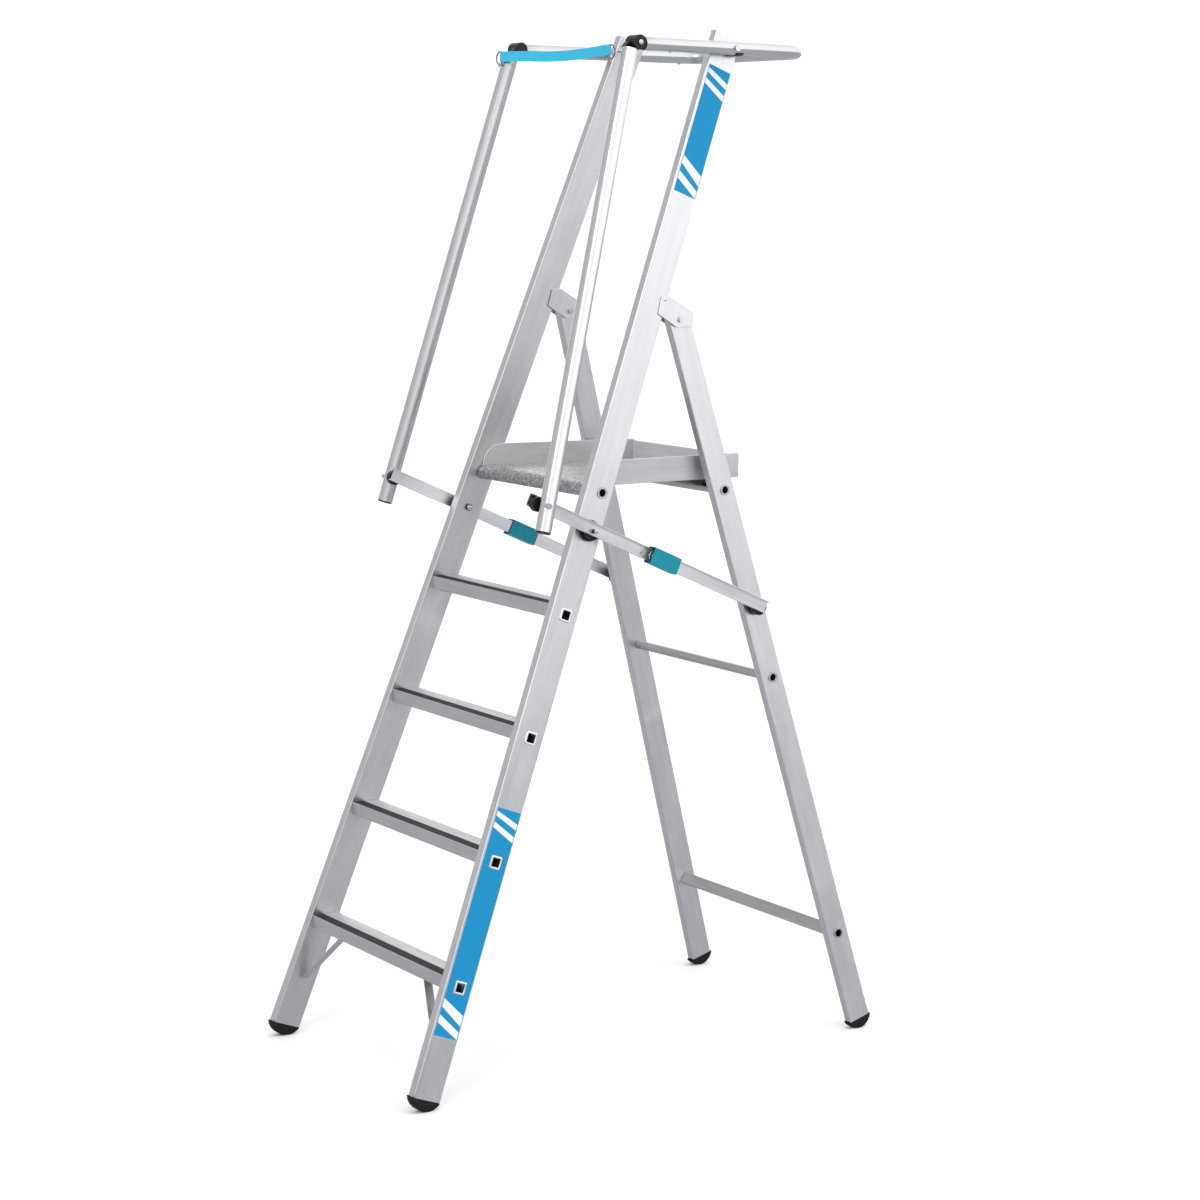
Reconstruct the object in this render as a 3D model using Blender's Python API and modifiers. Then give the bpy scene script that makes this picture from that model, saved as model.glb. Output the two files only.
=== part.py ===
"""Platform step ladder: tapered front frame with four treads, folding rear frame, tip-up platform,
two-part spreader bars with lock sleeves, and a guard rail on two posts. Metres, +Z up, front at -Y."""

import math

import bmesh
import bpy
from mathutils import Matrix, Vector

NAME = "platform_step_ladder"
GAP = 0.0003
LEFT_RIGHT = ((-1, "left"), (1, "right"))

# Front frame. Its plane leans back, and its stiles draw together towards the top.
FRONT_LEAN = 20.28
FRONT_FOOT_Y = -0.6627
FRONT_HALF = 0.3515
FRONT_TAPER = 0.0552
STILE_DEPTH = 0.073
STILE_THICK = 0.024
STILE_START = 0.042
STILE_END = 2.572
WALL = 0.002

# Treads.
TREADS = 4
TREAD_Z = 0.2943
RISER = 0.272
TREAD_SETBACK = 0.003
TREAD_DEPTH = 0.069
TREAD_LIP = 0.030
CHAMBER = 0.024
CHAMBER_BORE = 0.0205
CHAMBER_Y = 0.0296
CHAMBER_DROP = 0.0258
STRIP = (0.003, 0.030)

# Rear frame.
REAR_LEAN = -16.53
REAR_FOOT_Y = 0.6008
REAR_HALF = 0.3468
REAR_TAPER = 0.0561
LEG_DEPTH = 0.059
LEG_THICK = 0.0225
LEG_START = 0.017
LEG_PAST_PIVOT = 0.015
BAR_SIDE = 0.028

# Pivots, as (y, z).
LEG_PIVOT = (0.1120, 1.7470)
DECK_PIVOT = (-0.1132, 1.3567)
SPREADER_PIVOT = (-0.1542, 1.2738)
RAIL_PIVOT = (0.2600, 2.3705)
KNUCKLE = (-0.0263, 2.3716)
SUPPORT_TUBE = (0.2349, 1.3471)
MIDDLE_TUBE = (0.3686, 0.8930)
BOTTOM_BAR = (0.5593, 0.2467)

# Platform.
DECK_TOP = 1.3767
DECK_SHEET = 0.003
CURL = 0.020
SIDE_HALF = 0.2435
SIDE_TAPER = 0.0552
DECK_REAR = 0.306
SIDE_TOP = 1.428
SIDE_BOTTOM = 1.370

# Spreader bars, in their own frame along the bar from the front pivot.
BAR_SLOPE = -23.5
BAR_HIGH = 0.030
BAR_LIFT = 0.004
BAR_FRONT = -0.2000
ELBOW = 0.175
BAR_REAR = 0.5290
LATCH_PIVOT = -0.1826
REAR_STUD = 0.5131
FRONT_LAYER = (0.2970, 0.3070)
REAR_LAYER = (0.3076, 0.3176)
JOGGLE = 0.008
SLEEVE = (0.162, 0.243)
SLEEVE_HIGH = 0.039
SLEEVE_X = (0.2935, 0.3210)

# Guard rail and its posts.
POST_RADIUS = 0.01815
POST_WALL = 0.0018
POST_FOOT = Vector((0.3567, -0.3276, 1.2880))
POST_HEAD = Vector((0.2511, -0.0401, 2.3700))
RAIL_RADIUS = 0.0155
RAIL_WALL = 0.0013
RAIL_Z = 2.3700
RAIL_FRONT_HALF = 0.2515
RAIL_PIVOT_HALF = 0.2312
RAIL_REAR_HALF = 0.2160
RAIL_REAR_Y = 0.484
RAIL_CORNER = 0.060

# Safety strap.
STRAP_Y = -0.0725
STRAP_Z = 2.3500
STRAP_HIGH = 0.024
STRAP_THICK = 0.0018
STRAP_RING = 0.0155

ALUMINIUM = ("satin_aluminium", (0.62, 0.63, 0.65), 0.34, 1.0)
TREAD_METAL = ("ribbed_aluminium", (0.58, 0.59, 0.61), 0.38, 1.0)
PLATE_METAL = ("chequered_aluminium", (0.60, 0.61, 0.62), 0.32, 1.0)
STEEL = ("zinc_steel", (0.55, 0.56, 0.57), 0.28, 1.0)
BLACK = ("black_plastic", (0.02, 0.02, 0.022), 0.45, 0.0)
RUBBER = ("black_rubber", (0.018, 0.018, 0.02), 0.75, 0.0)
GREY = ("grey_plastic", (0.45, 0.46, 0.48), 0.50, 0.0)
TEAL = ("teal_plastic", (0.02, 0.30, 0.36), 0.40, 0.0)
WEBBING = ("blue_webbing", (0.05, 0.42, 0.78), 0.85, 0.0)


class Frame:
    """A leaning plane: local Y runs through its depth, local Z up its slope, and it may taper in X."""

    def __init__(self, name, y, z, lean=0.0, taper=(0.0, 0.0), parent=None):
        self.y, self.z, self.taper = y, z, taper
        self.angle = math.radians(lean)
        self.empty = bpy.data.objects.new(name, None)
        self.empty.empty_display_size = 0.05
        PARTS.objects.link(self.empty)
        base = parent or NO_FRAME
        self.empty.parent = parent.empty if parent else None
        self.empty.location = (0.0, *base.local(y, z))
        self.empty.rotation_euler.x = base_angle(parent) - self.angle

    def local(self, y, z):
        """(depth, height) in this frame of a point in the world's YZ plane."""
        dy, dz = y - self.y, z - self.z
        cos, sin = math.cos(self.angle), math.sin(self.angle)
        return (dy * cos - dz * sin, dy * sin + dz * cos)

    def outline(self, points):
        return [self.local(*point) for point in points]


class NoFrame:
    angle = 0.0

    def local(self, y, z):
        return (y, z)


NO_FRAME = NoFrame()


def base_angle(parent):
    return parent.angle if parent else 0.0


def clear_scene():
    for obj in list(bpy.data.objects):
        bpy.data.objects.remove(obj)


def collection(name):
    made = bpy.data.collections.new(name)
    bpy.context.scene.collection.children.link(made)
    return made


def material(name, colour, roughness, metallic):
    made = bpy.data.materials.get(name)
    if made:
        return made
    made = bpy.data.materials.new(name)
    made.use_nodes = True
    shader = made.node_tree.nodes["Principled BSDF"]
    shader.inputs["Base Color"].default_value = (*colour, 1.0)
    shader.inputs["Roughness"].default_value = roughness
    shader.inputs["Metallic"].default_value = metallic
    return made


def span(low, high):
    return (min(low, high), max(low, high))


def mesh_of(bm):
    mesh = bpy.data.meshes.new("shape")
    bm.to_mesh(mesh)
    bm.free()
    return mesh


def block(x, y, z):
    """A box over three (low, high) ranges."""
    bm = bmesh.new()
    bmesh.ops.create_cube(bm, size=1.0)
    ranges = [span(*x), span(*y), span(*z)]
    size = [high - low for low, high in ranges]
    centre = [(high + low) / 2 for low, high in ranges]
    bm.transform(Matrix.Translation(centre) @ Matrix.Diagonal((*size, 1.0)))
    return mesh_of(bm)


def strut(radius, start, end, sides=24, end_radius=None):
    """A cylinder or cone between two points."""
    start, end = Vector(start), Vector(end)
    along = end - start
    bm = bmesh.new()
    bmesh.ops.create_cone(
        bm, cap_ends=True, segments=sides, depth=along.length, radius1=radius,
        radius2=radius if end_radius is None else end_radius)
    turn = Vector((0, 0, 1)).rotation_difference(along).to_matrix().to_4x4()
    bm.transform(Matrix.Translation((start + end) / 2) @ turn)
    return mesh_of(bm)


def rod(radius, x, at, sides=24, end_radius=None):
    """A cylinder along X over (inner, outer), at (y, z)."""
    return strut(radius, (x[0], *at), (x[1], *at), sides, end_radius)


def prism(outlines, x, axis="X"):
    """Closed outlines, inner ones as holes, extruded along X (or along Z, from outlines in XY)."""
    low, high = span(*x)
    curve = bpy.data.curves.new("outline", "CURVE")
    curve.dimensions = "2D"
    curve.fill_mode = "BOTH"
    curve.extrude = (high - low) / 2
    for outline in outlines:
        spline = curve.splines.new("POLY")
        spline.points.add(len(outline) - 1)
        for point, (u, v) in zip(spline.points, outline):
            point.co = (u, v, 0.0, 1.0)
        spline.use_cyclic_u = True
    helper = bpy.data.objects.new("outline", curve)
    mesh = bpy.data.meshes.new_from_object(helper)
    bpy.data.objects.remove(helper)
    turn = Matrix(((0, 0, 1, 0), (1, 0, 0, 0), (0, 1, 0, 0), (0, 0, 0, 1)))
    shift = Matrix.Translation((0, 0, (low + high) / 2))
    mesh.transform(turn @ shift if axis == "X" else shift)
    bm = bmesh.new()
    bm.from_mesh(mesh)
    bmesh.ops.remove_doubles(bm, verts=bm.verts, dist=1e-6)
    bmesh.ops.recalc_face_normals(bm, faces=bm.faces)
    bmesh.ops.dissolve_limit(bm, angle_limit=0.001, verts=bm.verts, edges=bm.edges)
    return mesh_of(bm)


def arc(centre, radius, start, end, steps):
    """Points of an arc from one angle to another, in degrees."""
    points = []
    for i in range(steps + 1):
        angle = math.radians(start + (end - start) * i / steps)
        points.append((centre[0] + radius * math.cos(angle), centre[1] + radius * math.sin(angle)))
    return points


def together(meshes):
    """Several separate shapes as one mesh."""
    bm = bmesh.new()
    for mesh in meshes:
        bm.from_mesh(mesh)
    return mesh_of(bm)


def draw_in(mesh, taper):
    """Moves both sides towards the middle by the frame's taper."""
    for vertex in mesh.vertices:
        shift = taper[0] * vertex.co.y + taper[1] * vertex.co.z
        vertex.co.x -= shift if vertex.co.x > 0 else -shift


def taper_all():
    """Fixes each part's shape, and only then tapers it, so that every cut is made square."""
    graph = bpy.context.evaluated_depsgraph_get()
    for name, taper in TAPERED.items():
        part = bpy.data.objects[name]
        bm = bmesh.new()
        bm.from_object(part, graph)
        bmesh.ops.remove_doubles(bm, verts=bm.verts, dist=5e-6)
        bmesh.ops.triangulate(bm, faces=bm.faces)
        mesh = mesh_of(bm)
        draw_in(mesh, taper)
        part.modifiers.clear()
        part.data = mesh
        mesh.name = name


def place(name, mesh, frame, finish, target):
    mesh.name = name
    mesh.materials.clear()
    if finish:
        mesh.materials.append(material(*finish))
    made = bpy.data.objects.new(name, mesh)
    made.parent = frame.empty
    target.objects.link(made)
    return made


def add(name, mesh, frame, finish):
    if any(frame.taper):
        TAPERED[name] = frame.taper
    return place(name, mesh, frame, finish, PARTS)


def combine(obj, mesh, frame, operation):
    other = place(f"{obj.name}_cutter_{len(obj.modifiers)}", mesh, frame, None, CUTTERS)
    other.hide_render = True
    other.display_type = "WIRE"
    modifier = obj.modifiers.new(operation.lower(), "BOOLEAN")
    modifier.operation = operation
    modifier.solver = "EXACT"
    modifier.object = other


def cut(obj, mesh, frame):
    combine(obj, mesh, frame, "DIFFERENCE")


def join(obj, mesh, frame):
    combine(obj, mesh, frame, "UNION")


def bevel(obj, width, segments=2):
    modifier = obj.modifiers.new("bevel", "BEVEL")
    modifier.width = width
    modifier.segments = segments
    modifier.limit_method = "ANGLE"
    modifier.angle_limit = math.radians(40)


def beam(name, frame, side, half, thick, depth, height):
    """A hollow rectangular side member, open at both ends."""
    made = add(name, block((side * (half - thick), side * half), (0, depth), height), frame, ALUMINIUM)
    inside = (side * (half - thick + WALL), side * (half - WALL))
    ends = (height[0] - 0.01, height[1] + 0.01)
    cut(made, block(inside, (WALL, depth - WALL), ends), frame)
    return made


def square(centre, side, turn=0.0):
    """Corners of a square, turned in its frame."""
    reach = side / math.sqrt(2)
    return arc(centre, reach, 45 + turn, 315 + turn, 3)


def rocker(frame, centre_y, radius, end):
    """Outline of a round-bottomed foot under a member's square end, with a flat at the ground."""
    cy, cz = frame.local(centre_y, radius)
    reach = math.sqrt(radius**2 - (cz - end) ** 2)
    first = math.degrees(math.atan2(end - cz, -reach))
    last = math.degrees(math.atan2(end - cz, reach))
    down = -90 + math.degrees(frame.angle)
    step = 16
    angles = [down + step * (i + 0.5) for i in range(-6, 6)]
    outer = radius / math.cos(math.radians(step / 2))
    kept = [a for a in angles if (first % 360) - 360 + 4 < a < last - 4]
    points = [(cy + outer * math.cos(math.radians(a)), cz + outer * math.sin(math.radians(a))) for a in kept]
    edge = end - GAP
    return [(cy - reach, edge), *points, (cy + reach, edge)]


def foot(name, frame, side, half, thick, depth, end, centre_y, radius):
    """A rubber rocker with a plug up into the hollow member."""
    points = rocker(frame, centre_y, radius, end)
    inner, outer = side * (half - thick - 0.001), side * (half + 0.001)
    made = add(name, prism([points], (inner, outer)), frame, RUBBER)
    inside = (side * (half - thick + WALL + GAP), side * (half - WALL - GAP))
    plug = block(inside, (WALL + GAP, depth - WALL - GAP), (end - 0.006, end + 0.035))
    join(made, plug, frame)
    return made


def tube_across(name, frame, at, radius, wall, half, collar, sides=24):
    """A tube through both side members, flared over their outer faces."""
    centre = frame.local(*at)
    made = add(name, rod(radius, (-half - 0.001, half + 0.001), centre, sides), frame, ALUMINIUM)
    for side in (-1, 1):
        join(made, rod(collar, (side * (half + GAP), side * (half + 0.0022)), centre, sides), frame)
    cut(made, rod(radius - wall, (-half - 0.02, half + 0.02), centre, sides), frame)
    return made


def front_frame(frame):
    for side, name in LEFT_RIGHT:
        stile = beam(f"stile_{name}", frame, side, FRONT_HALF, STILE_THICK, STILE_DEPTH,
                     (STILE_START, STILE_END))
        through = (side * (FRONT_HALF - STILE_THICK - 0.01), side * (FRONT_HALF + 0.01))
        holes = [square(chamber_centre(frame, index), CHAMBER + 2 * GAP) for index in range(TREADS)]
        drilled = ((0.0125, DECK_PIVOT, 24), (0.005, SPREADER_PIVOT, 16), (0.004, RAIL_PIVOT, 16))
        rounds = [rod(radius + GAP, through, frame.local(*at), sides) for radius, at, sides in drilled]
        cut(stile, together([*(prism([hole], through) for hole in holes), *rounds]), frame)
        foot(f"front_foot_{name}", frame, side, FRONT_HALF, STILE_THICK, STILE_DEPTH, STILE_START,
             -0.610, 0.042)
    tube_across("front_cross_tube", frame, DECK_PIVOT, 0.0125, 0.0025, FRONT_HALF, 0.0138)


def tread_corner(index):
    """Front top corner (y, z) of a tread."""
    z = TREAD_Z + RISER * index
    return (FRONT_FOOT_Y + z * math.tan(math.radians(FRONT_LEAN)) + TREAD_SETBACK, z)


def chamber_centre(frame, index):
    y, z = tread_corner(index)
    return frame.local(y + CHAMBER_Y, z - CHAMBER_DROP)


def tread_section(index):
    """Section of a tread: a grooved top, two lips and a foot for the chamber. Outline, then its hollow."""
    y, z = tread_corner(index)
    groove = (STRIP[0] - GAP, STRIP[1] + GAP)
    front, rear = CHAMBER_Y - 0.010, CHAMBER_Y + 0.010
    base = -CHAMBER_DROP + 0.005
    outline = [
        (0, 0), (groove[0], 0), (groove[0], -0.0012), (groove[1], -0.0012), (groove[1], 0),
        (TREAD_DEPTH, 0), (TREAD_DEPTH, -0.018), (TREAD_DEPTH - 0.0022, -0.018),
        (TREAD_DEPTH - 0.0022, -0.0032), (rear, -0.0032), (rear, base), (front, base),
        (front, -0.0032), (0.0022, -0.0032), (0.0022, -TREAD_LIP), (0, -TREAD_LIP)]
    upper = [(front + 0.0018, -0.0045), (rear - 0.0018, -0.0045), (rear - 0.0018, -0.0098),
             (front + 0.0018, -0.0098)]
    return [[(y + dy, z + dz) for dy, dz in ring] for ring in (outline, upper)]


def treads(frame):
    inner = FRONT_HALF - STILE_THICK - GAP
    for index in range(TREADS):
        number = index + 1
        section = [frame.outline(ring) for ring in tread_section(index)]
        step = add(f"step_{number}", prism(section[:1], (-inner, inner)), frame, TREAD_METAL)
        centre = chamber_centre(frame, index)
        neck = square(centre, CHAMBER)
        rim = square(centre, CHAMBER + 0.004)
        outer = FRONT_HALF + 0.001
        join(step, prism([neck], (-outer, outer)), frame)
        for side in (-1, 1):
            join(step, prism([rim], (side * (FRONT_HALF + GAP), side * (FRONT_HALF + 0.0022))), frame)
        bore = square(centre, CHAMBER_BORE)
        cut(step, prism([bore], (-outer - 0.02, outer + 0.02)), frame)
        cut(step, prism(section[1:], (-outer - 0.02, outer + 0.02)), frame)
        y, z = tread_corner(index)
        strip = [(y + STRIP[0], z - 0.0009), (y + STRIP[1], z - 0.0009), (y + STRIP[1], z + 0.0008),
                 (y + STRIP[0], z + 0.0008)]
        add(f"step_{number}_grip", prism([frame.outline(strip)], (-inner, inner)), frame, RUBBER)


def braces(frame):
    """Flat struts from under the lowest tread out to the stiles."""
    for side, name in LEFT_RIGHT:
        top = Vector((side * 0.205, -0.5285, 0.2548))
        low = Vector((side * 0.3153, -0.5700, 0.1400))
        along = (low - top).normalized()
        across = along.cross(Vector((0, 1, 0))).normalized()
        depth = along.cross(across)
        made = block((-0.0012, 0.0012), (-0.010, 0.010), (0, (low - top).length))
        turn = Matrix((across, depth, along)).transposed().to_4x4()
        world = Matrix.Translation(top) @ turn
        y, z = frame.empty.location[1:]
        tip = Matrix.Rotation(frame.angle, 4, "X") @ Matrix.Translation((0, -y, -z))
        made.transform(tip @ world)
        for vertex in made.vertices:
            vertex.co.x += side * frame.taper[1] * vertex.co.z
        add(f"step_brace_{name}", made, frame, ALUMINIUM)


def hinge_brackets(frame):
    """A folded bracket behind each stile that carries the rear leg between its two cheeks."""
    cheek = [(0.0585, 1.8000), (0.0820, 1.8025), (0.1496, 1.7640), (0.1465, 1.7300),
             (0.0992, 1.7300), (0.0489, 1.7604)]
    pin = frame.local(*LEG_PIVOT)
    for side, name in LEFT_RIGHT:
        outer = (side * (FRONT_HALF + GAP), side * (FRONT_HALF + 0.0033))
        inner = (side * (FRONT_HALF - STILE_THICK - 0.0045), side * (FRONT_HALF - STILE_THICK - 0.0015))
        whole = (inner[1], outer[1])
        bracket = add(f"hinge_bracket_{name}", prism([frame.outline(cheek)], outer), frame, ALUMINIUM)
        join(bracket, prism([frame.outline(cheek)], inner), frame)
        web = block(whole, (STILE_DEPTH + GAP, STILE_DEPTH + 0.0033), (1.900, 1.945))
        join(bracket, web, frame)
        reach = (inner[1] - side * 0.02, outer[1] + side * 0.02)
        cut(bracket, rod(0.004 + GAP, reach, pin, 16), frame)
        bolt = add(f"leg_pivot_bolt_{name}", rod(0.004, (inner[0] - side * 0.003, outer[1] + side * 0.003),
                                                 pin, 16), frame, STEEL)
        join(bolt, rod(0.0068, (outer[1] + side * GAP, outer[1] + side * 0.0045), pin, 16), frame)
        join(bolt, rod(0.0068, (inner[0] - side * GAP, inner[0] - side * 0.0045), pin, 6), frame)


def spreader_pivots(frame):
    """A stepped spacer on each stile's outer face, with the bolt that the spreader bar turns on."""
    at = frame.local(*SPREADER_PIVOT)
    face = FRONT_HALF + GAP
    for side, name in LEFT_RIGHT:
        flat = side * (FRONT_LAYER[0] - 0.0005 + FRONT_TAPER * at[1])
        spacer = add(f"spreader_pivot_{name}", rod(0.025, (side * face, side * (face + 0.007)), at, 32),
                     frame, GREY)
        level(spacer, rod(0.0215, (side * (face + 0.004), flat), at, 32), frame, flat)
        level(spacer, rod(0.005, (side * (FRONT_HALF - STILE_THICK - 0.006), flat + side * 0.0135), at, 16),
              frame, flat + side * 0.0135)
        join(spacer, rod(0.009, (side * (FRONT_HALF - STILE_THICK - GAP),
                                 side * (FRONT_HALF - STILE_THICK - 0.006)), at, 6), frame)


def level(obj, mesh, frame, outer):
    """Joins a piece whose outer end stays square to X although the frame tapers."""
    for vertex in mesh.vertices:
        if abs(vertex.co.x - outer) < 1e-5:
            along = frame.taper[1] * (vertex.co.z - level_height(mesh))
            vertex.co.x += along if vertex.co.x > 0 else -along
    join(obj, mesh, frame)


def level_height(mesh):
    heights = [vertex.co.z for vertex in mesh.vertices]
    return (min(heights) + max(heights)) / 2


def rail_pivots(frame):
    """The bolt through each stile top that the guard rail turns on, with a shaped spacer."""
    at = frame.local(*RAIL_PIVOT)
    shift = FRONT_TAPER * at[1]
    for side, name in LEFT_RIGHT:
        inner = side * (FRONT_HALF - STILE_THICK)
        rail = side * (rail_half(RAIL_PIVOT[0]) + shift)
        head = rail + side * (RAIL_RADIUS + 0.0013)
        bolt = add(f"rail_pivot_bolt_{name}", rod(0.004, (inner - side * 0.003, head + side * 0.002), at, 16),
                   frame, STEEL)
        join(bolt, rod(0.0075, (head, head + side * 0.0035), at, 16), frame)
        join(bolt, rod(0.0075, (inner - side * GAP, inner - side * 0.005), at, 6), frame)
        join(bolt, rod(0.0080, (side * (FRONT_HALF + GAP), rail - side * (RAIL_RADIUS + 0.0013)), at, 16),
             frame)


def rail_half(y):
    """Distance of the rail's centre line from the middle, at a depth."""
    if y < RAIL_PIVOT[0]:
        part = (y - KNUCKLE[0]) / (RAIL_PIVOT[0] - KNUCKLE[0])
        return RAIL_FRONT_HALF + (RAIL_PIVOT_HALF - RAIL_FRONT_HALF) * part
    part = (y - RAIL_PIVOT[0]) / (RAIL_REAR_Y - RAIL_CORNER - RAIL_PIVOT[0])
    return RAIL_PIVOT_HALF + (RAIL_REAR_HALF - RAIL_PIVOT_HALF) * part


def rear_frame(frame):
    top = frame.local(*LEG_PIVOT)[1] + LEG_PAST_PIVOT
    for side, name in LEFT_RIGHT:
        leg = beam(f"rear_leg_{name}", frame, side, REAR_HALF, LEG_THICK, LEG_DEPTH, (LEG_START, top))
        through = (side * (REAR_HALF - LEG_THICK - 0.01), side * (REAR_HALF + 0.01))
        holes = (SUPPORT_TUBE, MIDDLE_TUBE, BOTTOM_BAR)
        tubes = [rod(0.011 + GAP, through, frame.local(*at)) for at in holes]
        pin = rod(0.004 + 2 * GAP, through, frame.local(*LEG_PIVOT), 16)
        cut(leg, together([*tubes, pin]), frame)
        foot(f"rear_foot_{name}", frame, side, REAR_HALF, LEG_THICK, LEG_DEPTH, LEG_START, 0.6210, 0.036)
        stud = frame.local(*bar_point(REAR_STUD))
        shift = REAR_TAPER * stud[1]
        flat = side * (REAR_LAYER[0] - 0.0006 + shift)
        face = side * (REAR_HALF + GAP)
        spacer = add(f"rear_spacer_{name}", rod(0.022, (face, face + side * 0.004), stud, 28), frame, BLACK)
        level(spacer, rod(0.0205, (face + side * 0.003, flat), stud, 28), frame, flat)
    tube_across("rear_top_tube", frame, SUPPORT_TUBE, 0.011, 0.0018, REAR_HALF, 0.0128)
    tube_across("rear_middle_tube", frame, MIDDLE_TUBE, 0.011, 0.0018, REAR_HALF, 0.0128)
    bottom_bar(frame)


def bottom_bar(frame):
    """A square tube on edge between the feet, necked down to pass through the legs."""
    made = tube_across("rear_bottom_bar", frame, BOTTOM_BAR, 0.011, 0.0018, REAR_HALF, 0.0128)
    centre = frame.local(*BOTTOM_BAR)
    inner = REAR_HALF - LEG_THICK - GAP
    outline = square(centre, BAR_SIDE, 45)
    made.modifiers.remove(made.modifiers[-1])
    join(made, prism([outline], (-inner, inner)), frame)
    cut(made, rod(0.0092, (-REAR_HALF - 0.02, REAR_HALF + 0.02), centre), frame)


def bar_point(along, lift=0.0):
    """World (y, z) of a point along the opened spreader line."""
    angle = math.radians(BAR_SLOPE)
    y, z = SPREADER_PIVOT
    return (y + along * math.cos(angle) - lift * math.sin(angle),
            z + along * math.sin(angle) + lift * math.cos(angle))


def platform(frame):
    """The deck curls over the front cross tube, and its side plates hang on that tube."""
    top = DECK_TOP - frame.z
    rear = DECK_REAR - frame.y
    curl = arc((0, 0), CURL, 90, 215, 12)
    under = arc((0, 0), CURL - DECK_SHEET, 215, 90, 12)
    sheet = [(rear, top), *curl, *under, (rear, top - DECK_SHEET)]
    half = SIDE_HALF - 0.003 - GAP
    add("platform_deck", prism([sheet], (-half, half)), frame, PLATE_METAL)
    side_outline = [(-0.1214, 1.374), (-0.1185, 1.3920), (-0.1085, 1.4100), (-0.0925, 1.4230),
                    (-0.0735, SIDE_TOP), (0.3065, SIDE_TOP), (0.3095, SIDE_TOP - 0.003),
                    (0.3095, SIDE_BOTTOM), (-0.085, SIDE_BOTTOM), (-0.0940, 1.352), (-0.1000, 1.3435),
                    (-0.1132, 1.3385), (-0.1245, 1.3425), (-0.1305, 1.3530), (-0.1290, 1.3640)]
    for side, name in LEFT_RIGHT:
        plate = (side * (SIDE_HALF - 0.003), side * SIDE_HALF)
        made = add(f"platform_side_{name}", prism([frame.outline(side_outline)], plate), frame, ALUMINIUM)
        cut(made, rod(0.0128, (side * 0.2, side * 0.3), (0, 0)), frame)
    board = [(0.3030, 1.3771), (0.3056, 1.3771), (0.3056, 1.4240), (0.3030, 1.4240)]
    add("platform_toe_board", prism([frame.outline(board)], (-half, half)), frame, ALUMINIUM)
    hooks(frame)


def hooks(frame):
    """Blocks under the deck that sit over the rear frame's top tube."""
    y, z = SUPPORT_TUBE
    seat = arc((y, z), 0.011 + 0.0006, 148, 0, 10)
    under = DECK_TOP - DECK_SHEET - GAP
    shift = SIDE_TAPER * (y - frame.y)
    outline = [seat[0], (seat[0][0] - 0.006, seat[0][1]), (seat[0][0] - 0.010, under), (y + 0.020, under),
               (y + 0.020, z + 0.004), (y + 0.017, z), seat[-1], *reversed(seat[1:-1])]
    for side, name in LEFT_RIGHT:
        spread = (side * (0.152 + shift), side * (0.197 + shift))
        add(f"platform_hook_{name}", prism([frame.outline(outline)], spread), frame, BLACK)


def channel(name, frame, layer, side, start, end, front_round, rear_round, joggle):
    """A spreader bar: a channel, flanges outward, seen from the side as a bar with round ends."""
    half = BAR_HIGH / 2
    inner, outer = layer
    outline = []
    outline += arc((end - half, BAR_LIFT), half, -90, 90, 8) if rear_round else [
        (end, BAR_LIFT - half), (end, BAR_LIFT + half)]
    outline += arc((start + half, BAR_LIFT), half, 90, 270, 8) if front_round else [
        (start, BAR_LIFT + half), (start, BAR_LIFT - half)]
    made = add(name, prism([outline], (side * (inner - 0.02), side * (outer + 0.03))), frame, ALUMINIUM)
    plan = [(inner, end + 0.01), (outer, end + 0.01), (outer, start - 0.01), (inner, start - 0.01)]
    if joggle:
        plan = [(inner, end + 0.01), (outer, end + 0.01), (outer, -0.050), (outer + joggle, -0.085),
                (outer + joggle, start - 0.01), (inner + joggle, start - 0.01), (inner + joggle, -0.085),
                (inner, -0.050)]
    shape(made, plan, side, frame, "INTERSECT", (BAR_LIFT - 0.03, BAR_LIFT + 0.03))
    web = 0.0022
    pocket = [(x + web if x < (inner + outer) / 2 + (joggle if y < -0.06 else 0) else x + 0.02, y)
              for x, y in plan]
    shape(made, pocket, side, frame, "DIFFERENCE", (BAR_LIFT - half + web, BAR_LIFT + half - web))
    return made


def shape(obj, plan, side, frame, operation, height):
    outline = [(side * x, y) for x, y in plan]
    combine(obj, prism([outline], height, "Z"), frame, operation)


def front_bars(frame, side, name):
    bar = channel(f"spreader_front_{name}", frame, FRONT_LAYER, side, BAR_FRONT, ELBOW + BAR_HIGH / 2,
                  False, True, JOGGLE)
    reach = (side * 0.28, side * 0.34)
    cut(bar, rod(0.005 + GAP, reach, (0, 0), 16), frame)
    cut(bar, rod(0.004 + GAP, reach, (ELBOW, BAR_LIFT), 16), frame)
    web = side * (FRONT_LAYER[0] + JOGGLE + 0.0022)
    plug = add(f"post_pivot_plug_{name}", rod(0.017, (side * (FRONT_LAYER[1] + JOGGLE + GAP), side * 0.3300),
                                              (LATCH_PIVOT, 0), 28), frame, BLACK)
    tongue = (side * (FRONT_LAYER[0] + JOGGLE + 0.0022 + GAP), side * (FRONT_LAYER[1] + JOGGLE + 0.001))
    join(plug, block(tongue, (BAR_FRONT + 0.002, LATCH_PIVOT + 0.045),
                     (BAR_LIFT - 0.0123, BAR_LIFT + 0.0123)), frame)
    return web


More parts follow.
